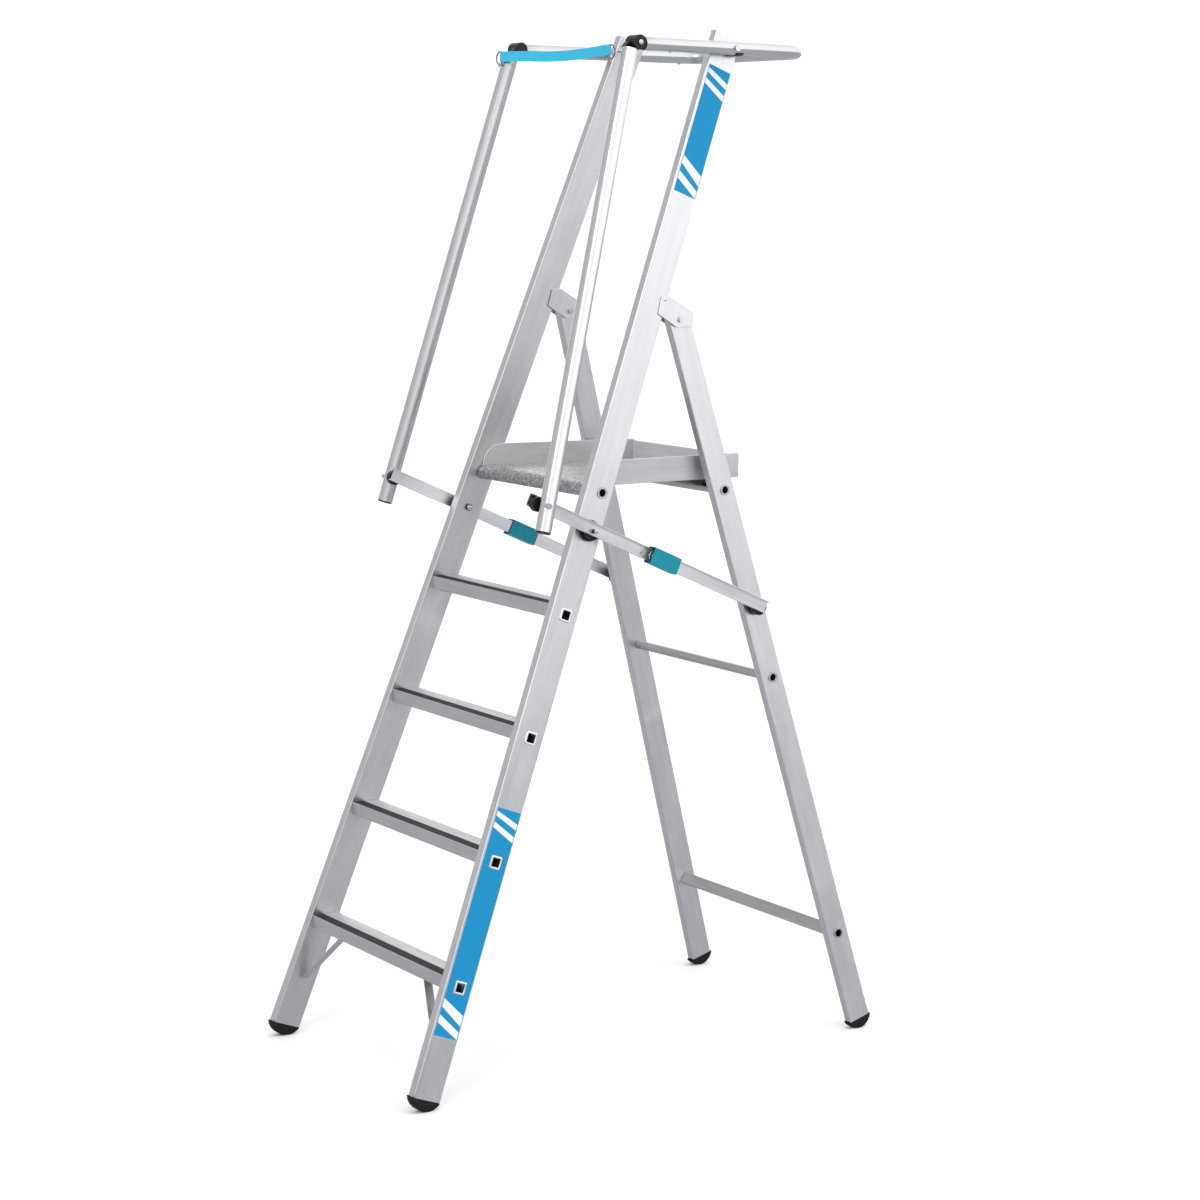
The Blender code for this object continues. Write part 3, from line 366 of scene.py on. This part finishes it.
def smoothing_group():
    """Geometry nodes that shade smooth across shallow edges and keep the sharp ones. They also weight the
    long sharp edges, a profile's own corners, for a bevel."""
    group = bpy.data.node_groups.new("smooth_by_angle", "GeometryNodeTree")
    group.interface.new_socket("Geometry", in_out="INPUT", socket_type="NodeSocketGeometry")
    group.interface.new_socket("Geometry", in_out="OUTPUT", socket_type="NodeSocketGeometry")
    add = adder(group)

    def above(source, limit):
        return add("FunctionNodeCompare", [(0, source)], [(1, limit)], operation="GREATER_THAN").outputs[0]

    start = add("NodeGroupInput").outputs[0]
    plain = add("GeometryNodeRemoveAttribute", [("Geometry", start)], [("Name", "custom_normal")])
    angle = add("GeometryNodeInputMeshEdgeAngle").outputs["Unsigned Angle"]
    faces = add("GeometryNodeSetShadeSmooth", [("Geometry", plain.outputs[0])], domain="FACE")
    links = [("Geometry", faces.outputs[0]), ("Selection", above(angle, math.radians(SHARP)))]
    edges = add("GeometryNodeSetShadeSmooth", links, [("Shade Smooth", False)], domain="EDGE")
    ends = add("GeometryNodeInputMeshEdgeVertices").outputs
    links = [(0, ends["Position 1"]), (1, ends["Position 2"])]
    length = add("ShaderNodeVectorMath", links, operation="DISTANCE").outputs["Value"]
    links = [(0, above(length, LONG_EDGE)), (1, above(angle, math.radians(CORNER)))]
    weight = add("ShaderNodeMath", links, operation="MULTIPLY").outputs[0]
    links = [("Geometry", edges.outputs[0]), ("Value", weight)]
    store = add("GeometryNodeStoreNamedAttribute", links, [("Name", "bevel_weight_edge")],
                data_type="FLOAT", domain="EDGE")
    add("NodeGroupOutput", [(0, store.outputs[0])])
    return group


SMOOTHING = smoothing_group()


def soften(obj, width=0.0, long_edges=False):
    """Welds and cleans a mesh, rounds its sharp edges by width, and shades its curves smooth.
    long_edges rounds only the profile's corners, and leaves the edges of holes and cut ends."""
    weld = obj.modifiers.new("weld", "WELD")
    weld.merge_threshold = 2e-6
    if width:
        flat = obj.modifiers.new("flat", "DECIMATE")
        flat.decimate_type = "DISSOLVE"
        flat.angle_limit = math.radians(0.6)
    smooth = obj.modifiers.new("smooth", "NODES")
    smooth.node_group = SMOOTHING
    if width:
        round_off = obj.modifiers.new("round", "BEVEL")
        round_off.width = width
        round_off.segments = 3
        round_off.limit_method = "WEIGHT" if long_edges else "ANGLE"
        round_off.use_clamp_overlap = not long_edges
        round_off.angle_limit = math.radians(40)
        round_off.harden_normals = True


def dress_nodes():
    """Gives each CAD node its material, its bevel and its shading."""
    for name, obj in NODES.items():
        material = MATERIALS[finish_of(name)]
        for slot in obj.material_slots:
            slot.link = "OBJECT"
            slot.material = material
        width = next((value for key, value in BEVELS.items() if name.startswith(key)), 0.0)
        soften(obj, width, name.startswith(("stile_", "rear_leg_", "step_")) and not name.endswith("_grip"))


# ---------------------------------------------------------------- helpers for new pieces


def piece(name, bm, material, body, smooth=0):
    """A new mesh object from bm, riding on a body. It is smooth, if at all, up to an angle in degrees."""
    mesh = bpy.data.meshes.new(name)
    bm.to_mesh(mesh)
    bm.free()
    obj = bpy.data.objects.new(name, mesh)
    bpy.context.scene.collection.objects.link(obj)
    mesh.materials.append(MATERIALS[material])
    if smooth:
        for polygon in mesh.polygons:
            polygon.use_smooth = True
        mesh.set_sharp_from_angle(angle=math.radians(smooth))
    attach(obj, body)
    return obj


def smooth_line(points, steps):
    """Points along a Catmull-Rom curve through the given points."""
    ends = [2 * points[0] - points[1], *points, 2 * points[-1] - points[-2]]
    line = []
    for i in range(1, len(ends) - 2):
        a, b, c, d = ends[i - 1:i + 3]
        for k in range(steps):
            t = k / steps
            line.append(0.5 * ((2 * b) + (c - a) * t + (2 * a - 5 * b + 4 * c - d) * t * t
                               + (3 * b - a - 3 * c + d) * t ** 3))
    return line + [points[-1]]


def skin(bm, rings, capped=True):
    """Faces between neighbouring rings of vertices and, if capped, over the first and the last."""
    for one, two in zip(rings, rings[1:]):
        for k in range(len(one)):
            n = (k + 1) % len(one)
            bm.faces.new((one[k], one[n], two[n], two[k]))
    if capped:
        bm.faces.new(rings[0][::-1])
        bm.faces.new(rings[-1])
    bmesh.ops.recalc_face_normals(bm, faces=bm.faces)


def ring_at(bm, at, forward, section):
    """Vertices of a section, a closed list of (side, rise), square with the way forward."""
    side = forward.cross(UP).normalized()
    rise = side.cross(forward)
    return [bm.verts.new(at + side * s + rise * r) for s, r in section]


def rings_along(bm, line, section):
    """Lofts a section along a line of points."""
    rings = []
    for i, point in enumerate(line):
        forward = (line[min(i + 1, len(line) - 1)] - line[max(i - 1, 0)]).normalized()
        rings.append(ring_at(bm, point, forward, section))
    skin(bm, rings)


def circle(radius, count):
    """Points round a circle."""
    return [(radius * math.cos(2 * math.pi * k / count), radius * math.sin(2 * math.pi * k / count))
            for k in range(count)]


def tube(name, line, radius, wall, material, body):
    """Round tube along a level line, open at both ends for a short way, with rolled rims."""
    bm = bmesh.new()
    inner = radius - wall
    end = [(TUBE_BORE, inner), (0.0004, inner), (0.0, inner + 0.0004), (0.0, radius - 0.0005),
           (0.0005, radius)]
    first, last = (line[1] - line[0]).normalized(), (line[-1] - line[-2]).normalized()
    rings = [ring_at(bm, line[0] + first * inset, first, circle(reach, TUBE_SIDES)) for inset, reach in end]
    for before, point, after in zip(line, line[1:], line[2:]):
        forward = ((after - point).normalized() + (point - before).normalized()).normalized()
        rings.append(ring_at(bm, point, forward, circle(radius, TUBE_SIDES)))
    rings += [ring_at(bm, line[-1] - last * inset, last, circle(reach, TUBE_SIDES))
              for inset, reach in reversed(end)]
    skin(bm, rings)
    return piece(name, bm, material, body, 50)


def dome(name, centre, axis, radius, height, material, body, stem=0.0):
    """Rivet head: a low dome with a rolled edge, facing along axis."""
    bm = bmesh.new()
    side = axis.orthogonal().normalized()
    rise = axis.cross(side)
    profile = [(1.0, -stem), (1.0, 0.18 * height), (0.93, 0.42 * height), (0.74, 0.72 * height),
               (0.42, 0.93 * height), (0.14, height)]
    rings = []
    for reach, lift in profile:
        rings.append([bm.verts.new(centre + axis * lift + side * u + rise * v)
                      for u, v in circle(radius * reach, DOME_SIDES)])
    skin(bm, rings)
    return piece(name, bm, material, body, 60)


def on_stile(side, depth, reach, proud):
    """Point on a stile's outer face, or proud of it."""
    y = FOOT_Y + depth * math.cos(LEAN) + reach * math.sin(LEAN)
    z = reach * math.cos(LEAN) - depth * math.sin(LEAN)
    return Vector((side * (FRONT_HALF - FRONT_TAPER * reach + proud), y, z))


# ---------------------------------------------------------------- labels


def stripe_bands(low, high):
    """The slanting stripes at both ends of a label, as reaches at its front and then its rear edge."""
    return ([[low + part for part in band] for band in STRIPES_LOW]
            + [[high - part for part in band] for band in STRIPES_HIGH])


def slab(bm, corners, low, high):
    """Thin plate on the near stile's outer face, from its (depth, reach) corners."""
    skin(bm, [[bm.verts.new(on_stile(1, depth, reach, proud)) for depth, reach in corners]
              for proud in (low + 0.00002, high)])


def label(name, reach_from, reach_to, holes):
    """Blue film with slanting white stripes that stop a rim's width short of its edges, cut round the
    collars.
    """
    front, rear = LABEL_DEPTH
    cuts = [(collar - COLLAR_HALF, collar + COLLAR_HALF) for collar in holes]
    edges = sorted([reach_from, reach_to, *sum(cuts, ())])
    bm = bmesh.new()
    for low, high in zip(edges, edges[1:]):
        strips = [(front, rear)]
        if (low, high) in cuts:
            strips = [(front, COLLAR_DEPTH - COLLAR_HALF), (COLLAR_DEPTH + COLLAR_HALF, rear)]
        for near, far in strips:
            slab(bm, [(near, low), (far, low), (far, high), (near, high)], 0.0, LABEL_PROUD)
    piece(name, bm, "label_blue", "front_frame")
    bm = bmesh.new()
    near, far = front + LABEL_RIM, rear - LABEL_RIM
    for a, b, c, d in stripe_bands(reach_from, reach_to):
        slab(bm, [(near, a), (far, c), (far, d), (near, b)], LABEL_PROUD, LABEL_PROUD + 0.00006)
    piece(name + "_stripes", bm, "label_white", "front_frame")


# ---------------------------------------------------------------- tubes


def rail_line():
    """Centre line of the guard rail, from its front left end round the back to its front right end."""
    front, middle, rear = (Vector((*at, RAIL_Z)) for at in (RAIL_FRONT, RAIL_MIDDLE, RAIL_REAR))
    centre = rear - Vector((RAIL_CORNER, 0, 0))
    turn = [centre + RAIL_CORNER * Vector((math.cos(math.radians(angle)), math.sin(math.radians(angle)), 0))
            for angle in range(6, 91, 6)]
    right = [front.lerp(middle, k / 6) for k in range(6)]
    right += [middle.lerp(rear, k / 4) for k in range(5)] + turn
    left = [Vector((-point.x, point.y, point.z)) for point in right]
    return left + right[::-1]


def guard_rail():
    """The rail as a round tube with open ends, in place of the CAD node's facets."""
    rail = tube("guard_rail_tube", rail_line(), RAIL_RADIUS, RAIL_WALL, "rail_metal", "guard_rail")
    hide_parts("guard_rail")


# ---------------------------------------------------------------- treads and platform


def extruded(bm, section, half):
    """Closed bar along X, to half each way, from its (y, z) section."""
    skin(bm, [[bm.verts.new((side * half, y, z)) for y, z in section] for side in (-1, 1)])


def ribbed(front, rear, base, valley, crest, pitch):
    """Section of a ribbed strip, from its front to its rear edge."""
    count = max(2, round((rear - front) / pitch))
    step = (rear - front) / count
    section = [(rear, base), (front, base)]
    for k in range(count):
        y = front + k * step
        section += [(y + 0.06 * step, valley), (y + 0.22 * step, valley + 0.8 * (crest - valley)),
                    (y + 0.36 * step, crest), (y + 0.58 * step, crest),
                    (y + 0.72 * step, valley + 0.8 * (crest - valley)), (y + 0.88 * step, valley)]
    return section


def tread_tops():
    """Ribbed rubber in each tread's groove, and low ribs on the metal behind it."""
    for number in range(1, 5):
        low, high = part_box(f"step_{number}_grip")
        top = high.z - 0.0008
        bm = bmesh.new()
        extruded(bm, ribbed(low.y, high.y, low.z, top - 0.0001, high.z, 0.0045), high.x)
        grip = piece(f"tread_{number}_rubber", bm, "grip_black", "front_frame", 30)
        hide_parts(f"step_{number}_grip")
        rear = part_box(f"step_{number}")[1].y
        bm = bmesh.new()
        section = ribbed(high.y + 0.0022, rear - 0.0020, top + 0.00001, top + 0.00008, top + 0.0006, 0.0040)
        extruded(bm, section, high.x - 0.002)
        piece(f"tread_{number}_ribs", bm, "cross_metal", "front_frame", 30)


def deck_path():
    """Upper skin of the deck, from its rear edge forward and down round its curl, as (y, z, its normal)."""
    curl_y, curl_z = DECK_CURL_AT
    count = round((DECK_REAR - curl_y) / DECK_SPACING)
    path = [(DECK_REAR + (curl_y - DECK_REAR) * k / count, curl_z + DECK_CURL, 0.0, 1.0)
            for k in range(count)]
    count = round(math.radians(DECK_CURL_TURN) * DECK_CURL / DECK_SPACING)
    for k in range(count + 1):
        angle = math.radians(90 + DECK_CURL_TURN * k / count)
        ny, nz = math.cos(angle), math.sin(angle)
        path.append((curl_y + DECK_CURL * ny, curl_z + DECK_CURL * nz, ny, nz))
    return path


def deck():
    """Deck sheet with a hammered upper face, plain below."""
    bm = bmesh.new()
    columns = DECK_COLUMNS
    over, under = [], []
    travel = 0.0
    path = deck_path()
    for i, (y, z, ny, nz) in enumerate(path):
        if i:
            travel += math.hypot(y - path[i - 1][0], z - path[i - 1][1])
        half = DECK_HALF - DECK_TAPER * (y - DECK_CURL_AT[0])
        row = []
        for k in range(columns + 1):
            x = half * (2 * k / columns - 1)
            near = noise_of.voronoi((x / DENT_PITCH, travel / DENT_PITCH, 0.0))[0][0]
            edge = min(1.0, (half - abs(x)) / 0.004, (len(path) - 1 - i) / 3, i / 3)
            rise = -DENT_DEPTH * min(1.0, (near / 0.55) ** 2) * max(0.0, edge)
            row.append(bm.verts.new((x, y + ny * rise, z + nz * rise)))
        over.append(row)
        under.append([bm.verts.new((side * half, y - ny * DECK_THICK, z - nz * DECK_THICK))
                      for side in (-1, 1)])
    for one, two in zip(over, over[1:]):
        for k in range(columns):
            bm.faces.new((one[k], one[k + 1], two[k + 1], two[k]))
    for i in range(len(path) - 1):
        bm.faces.new((under[i][1], under[i][0], under[i + 1][0], under[i + 1][1]))
        bm.faces.new((over[i][0], over[i + 1][0], under[i + 1][0], under[i][0]))
        bm.faces.new((over[i + 1][-1], over[i][-1], under[i][1], under[i + 1][1]))
    bm.faces.new((*over[0][::-1], under[0][0], under[0][1]))
    bm.faces.new((*over[-1], under[-1][1], under[-1][0]))
    bmesh.ops.recalc_face_normals(bm, faces=bm.faces)
    made = piece("deck_sheet", bm, "deck_metal", "platform", 50)
    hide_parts("platform_deck")


# ---------------------------------------------------------------- small fittings


def skin_x(node, side, y, z):
    """X of a CAD node's outermost face at (y, z), seen from its own side."""
    hit, place, _, _ = NODES[node].ray_cast(Vector((side * 0.6, y, z)), Vector((-side, 0, 0)))
    if not hit:
        raise ValueError(f"{node} has no face at {y:.4f}, {z:.4f}")
    return place.x


def middle_of(node):
    """(y, z) at the middle of a CAD node's box."""
    low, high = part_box(node)
    return (low.y + high.y) / 2, (low.z + high.z) / 2


def eyelet(name, side, node, y, z, bore, body):
    """Rolled metal rim round a cross tube's end on the outside of a frame member."""
    x = skin_x(node, side, y + bore + 0.004, z)
    bm = bmesh.new()
    profile = [(bore, -0.0010), (bore, 0.0006), (bore + 0.0006, 0.0011), (bore + 0.0018, 0.0012),
               (bore + 0.0027, 0.0008), (bore + 0.0031, 0.0)]
    rings = [[bm.verts.new((x + side * rise, y + u, z + v)) for u, v in circle(reach, EYELET_SIDES)]
             for reach, rise in profile]
    skin(bm, rings + rings[:1], capped=False)
    piece(name, bm, "steel", body, 60)


def rounded_square(half, corner, steps=5):
    """Points of a square with rounded corners."""
    points = []
    for quarter in range(4):
        turn = math.radians(90 * quarter)
        for k in range(steps + 1):
            angle = math.radians(90 * k / steps)
            u = half - corner + corner * math.cos(angle)
            v = half - corner + corner * math.sin(angle)
            points.append((u * math.cos(turn) - v * math.sin(turn), u * math.sin(turn) + v * math.cos(turn)))
    return points


def collars():
    """Flared square rims of the tread chambers, on the outside of both stiles."""
    profile = [(0.0103, 0.0020, 0.0016), (0.0103, 0.0020, 0.0027), (0.0109, 0.0024, 0.0032),
               (0.0134, 0.0036, 0.0032), (0.0144, 0.0042, 0.0026), (0.0146, 0.0044, 0.0)]
    for side, name in LEFT_RIGHT:
        bm = bmesh.new()
        for reach in COLLAR_REACH:
            rings = [[bm.verts.new(on_stile(side, COLLAR_DEPTH + u, reach + v, proud))
                      for u, v in rounded_square(half, corner)]
                     for half, corner, proud in profile]
            skin(bm, rings + rings[:1], capped=False)
        piece(f"tread_collars_{name}", bm, "collar_metal", "front_frame", 50)


def eyelets():
    """Rims round the ends of the cross tubes."""
    ends = (("stile", "front_cross_tube", 0.0088, "front_frame"),
            ("rear_leg", "rear_top_tube", 0.0085, "rear_frame"),
            ("rear_leg", "rear_middle_tube", 0.0085, "rear_frame"))
    for side, name in LEFT_RIGHT:
        for number, (node, tube_node, bore, body) in enumerate(ends):
            y, z = middle_of(tube_node)
            eyelet(f"tube_rim_{name}_{number}", side, f"{node}_{name}", y, z, bore, body)


def rivets():
    """Rivet heads on the hinge brackets, the spreader bars and their pivots, and on the knuckles."""
    for side, name in LEFT_RIGHT:
        out = Vector((side, 0, 0))
        spots = [("hinge_bracket", 0.0695, 1.7934, 0.0042, 0.0016, "front_frame", "stile_metal"),
                 ("spreader_front", -0.0240, 1.2190, 0.0036, 0.0013, f"spreader_front_{name}", "rivet_metal")]
        for number, (node, y, z, radius, high, body, finish) in enumerate(spots):
            x = skin_x(f"{node}_{name}", side, y, z)
            dome(f"{node}_{name}_rivet_{number}", Vector((x, y, z)), out, radius, high, finish, body)
        pivot = f"spreader_pivot_{name}"
        low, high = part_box(pivot)
        outer, inner = (high.x, low.x) if side > 0 else (low.x, high.x)
        y, z = middle_of(pivot)
        ends = [("head", outer, out, 0.0052, 0.0012), ("tail", inner, -out, 0.0076, 0.0020)]
        for end, x, way, radius, rise in ends:
            dome(f"{pivot}_{end}", Vector((x, y, z)), way, radius, rise, "steel", "front_frame",
                 0.0004)
        at = Vector((skin_x(f"post_knuckle_{name}", side, *KNUCKLE_AT), *KNUCKLE_AT))
        dome(f"knuckle_{name}_head", at, out, 0.0062, 0.0016, "steel", f"post_{name}")


def rail_fittings():
    """Stop buttons under the rail's sides, and the moulded saddles where it lies on the stiles."""
    for side, name in LEFT_RIGHT:
        for number, (x, y) in enumerate((RAIL_BUTTON, RAIL_REAR)):
            at = Vector((side * x, y, RAIL_Z - RAIL_RADIUS + 0.0003))
            dome(f"rail_button_{name}_{number}", at, -UP, 0.0042, 0.0030, "grey", "guard_rail",
                 0.0005)
        saddle(side, name)


def saddle(side, name):
    """Half sleeve under the rail, with its two end edges eased."""
    bm = bmesh.new()
    inner, outer = RAIL_RADIUS + 0.0002, RAIL_RADIUS + 0.0020
    rings = []
    for y, inset in ((0.262, 0.0008), (0.2635, 0.0), (0.2835, 0.0), (0.285, 0.0008)):
        x = RAIL_MIDDLE[0] - (y - 0.26) * RAIL_TAPER
        bounds = [(inner, angle) for angle in range(225, 316, 10)]
        bounds += [(outer - inset, angle) for angle in range(315, 224, -10)]
        rings.append([bm.verts.new((side * x + reach * math.cos(math.radians(angle)), y,
                                    RAIL_Z + reach * math.sin(math.radians(angle))))
                      for reach, angle in bounds])
    skin(bm, rings)
    piece(f"rail_saddle_{name}", bm, "black", "guard_rail", 35)


# ---------------------------------------------------------------- strap


def loop_round(at, angles):
    """The webbing's way round a ring's bar at (x, z)."""
    x, z = at
    return [Vector((x + STRAP_LOOP * math.cos(math.radians(angle)),
                    STRAP_Y + STRAP_LOOP * math.sin(math.radians(angle)), z)) for angle in angles]


def strap_path():
    """Middle of the webbing: its left tail, round the left ring's bar, across, and round the right ring's."""
    (left, left_z), (right, right_z) = STRAP_LEFT, STRAP_RIGHT
    behind, before = STRAP_Y + 0.0011, STRAP_Y - 0.0011
    points = [Vector((left + 0.034, behind, left_z - 0.0004)),
              Vector((left + 0.022, behind, left_z - 0.0002))]
    points += loop_round(STRAP_LEFT, range(60, 301, 30))
    points.append(Vector((left + 0.022, before, left_z)))
    points += [Vector((x, before, z)) for x, z in STRAP_SAG]
    points.append(Vector((right - 0.022, before, right_z - 0.0007)))
    points += loop_round(STRAP_RIGHT, range(-120, 121, 30))
    points += [Vector((right - 0.022, behind, right_z)), Vector((right - 0.034, behind, right_z - 0.0006))]
    return smooth_line(points, 5)


def stitch(bm, centre):
    """One short thread lying on the webbing."""
    rings = []
    for reach, thick in ((-1, 0.15), (-0.7, 0.8), (0.7, 0.8), (1, 0.15)):
        at = centre + UP * (0.0009 * reach)
        rings.append([bm.verts.new(at + Vector((0.00028 * thick * u, 0.00022 * thick * v, 0)))
                      for u, v in circle(1.0, 6)])
    skin(bm, rings)


def strap():
    """Webbing strap across the way in: it dips in the middle, and is looped and stitched at both ends."""
    bm = bmesh.new()
    count = 13
    section = []
    for k in range(count):
        rise = STRAP_WIDTH * (k / (count - 1) - 0.5)
        edge = 0.00072 if 0 < k < count - 1 else 0.00040
        section.append((edge, rise))
    section += [(-side, rise) for side, rise in reversed(section)]
    rings_along(bm, strap_path(), section)
    band = piece("strap_webbing", bm, "webbing_blue", "post_left", 50)
    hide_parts("safety_strap")
    bm = bmesh.new()
    for (x, z), way in ((STRAP_LEFT, 1), (STRAP_RIGHT, -1)):
        for column in range(3):
            for row in range(8):
                at = (x + way * (0.013 + 0.0075 * column), STRAP_Y - 0.0020, z - 0.0088 + 0.0025 * row)
                stitch(bm, Vector(at))
    piece("strap_stitches", bm, "thread", "post_left", 60)


# ---------------------------------------------------------------- stage


def floor():
    """Pale round floor. Glossy rays see it a darker grey: a painted reflection, darker than the lit floor, in
    all that shines.
    """
    bm = bmesh.new()
    bmesh.ops.create_circle(bm, cap_ends=True, cap_tris=True, segments=96, radius=60)
    mesh = bpy.data.meshes.new("floor")
    bm.to_mesh(mesh)
    bm.free()
    disc = bpy.data.objects.new("floor", mesh)
    bpy.context.scene.collection.objects.link(disc)
    shader, add = new_material("floor_pale")
    place = add("ShaderNodeTexCoord").outputs["Object"]
    tone = ramp(add, noise(add, place, 0.7, 2.0), [(0.3, 0.90), (0.7, 0.93)])
    shine = add("ShaderNodeLightPath").outputs["Is Glossy Ray"]
    # Painted reflection: to glossy rays the floor is a mid grey instead of its pale colour.
    feed(shader, "Base Color", blend(add, shine, tone, (0.47, 0.475, 0.49)))
    shader.inputs["Roughness"].default_value = 0.9
    shader.inputs["Specular IOR Level"].default_value = 0.1
    mesh.materials.append(MATERIALS["floor_pale"])


def facing(add, place, direction, low, high, top):
    """How nearly a direction of the sky faces another: 0 at the cosine low, and top at the cosine high."""
    cosine = add("ShaderNodeVectorMath", [(0, place)], [(1, direction)], operation="DOT_PRODUCT")
    limits = [("From Min", low), ("From Max", high), ("To Max", top)]
    return add("ShaderNodeMapRange", [("Value", cosine.outputs["Value"])], limits).outputs["Result"]


def surroundings():
    """Studio light from all round, with a brighter side and a soft panel, and plain white as a backdrop."""
    world = bpy.data.worlds.new("studio")
    bpy.context.scene.world = world
    world.use_nodes = True
    background = world.node_tree.nodes["Background"]
    add = adder(world.node_tree)
    place = add("ShaderNodeTexCoord").outputs["Generated"]
    shade = ramp(add, facing(add, place, BRIGHT_SIDE, -1.0, 1.0, 1.0),
                 [(at, (grey, grey * 1.005, grey * 1.02)) for at, grey in SKY_GREYS])
    panel = facing(add, place, PANEL_SIDE, 0.70, 0.98, 0.75)
    both = add("ShaderNodeVectorMath", [(0, shade), (1, panel)], operation="ADD").outputs["Vector"]
    direct = add("ShaderNodeLightPath").outputs["Is Camera Ray"]
    feed(background, "Color", blend(add, direct, both, (1.0, 1.0, 1.0)))
    background.inputs["Strength"].default_value = 1.12


def lamps():
    """Soft distant lamps, each aimed from its place at the foot of the ladder's centre."""
    for name, place, spread, power in LAMPS:
        lamp = bpy.data.lights.new(name, "SUN")
        lamp.angle = math.radians(spread)
        lamp.energy = power
        obj = bpy.data.objects.new(name, lamp)
        bpy.context.scene.collection.objects.link(obj)
        obj.location = place
        obj.rotation_euler = (-Vector(place)).to_track_quat("-Z", "Y").to_euler()


def camera():
    """Camera at the photograph's viewing angle."""
    azimuth, dip, roll = CAMERA_AZIMUTH, CAMERA_DIP, CAMERA_ROLL
    look = Vector((-math.sin(azimuth) * math.cos(dip), math.cos(azimuth) * math.cos(dip), -math.sin(dip)))
    level = Vector((math.cos(azimuth), math.sin(azimuth), 0))
    raised = level.cross(look)
    right = math.cos(roll) * level + math.sin(roll) * raised
    up = -math.sin(roll) * level + math.cos(roll) * raised
    lens = bpy.data.cameras.new("camera")
    lens.lens = CAMERA_LENS
    lens.sensor_width = 36
    lens.clip_end = 200
    obj = bpy.data.objects.new("camera", lens)
    bpy.context.scene.collection.objects.link(obj)
    turn = Matrix((right, up, -look)).transposed()
    obj.matrix_world = Matrix.Translation(CAMERA_PLACE) @ turn.to_4x4()
    bpy.context.scene.camera = obj


dress_nodes()
for label_name, (start, end, holes) in LABELS.items():
    label(label_name, start, end, holes)
guard_rail()
tread_tops()
deck()
collars()
eyelets()
rivets()
rail_fittings()
strap()
floor()
surroundings()
lamps()
camera()
bpy.context.scene.view_settings.view_transform = "Standard"
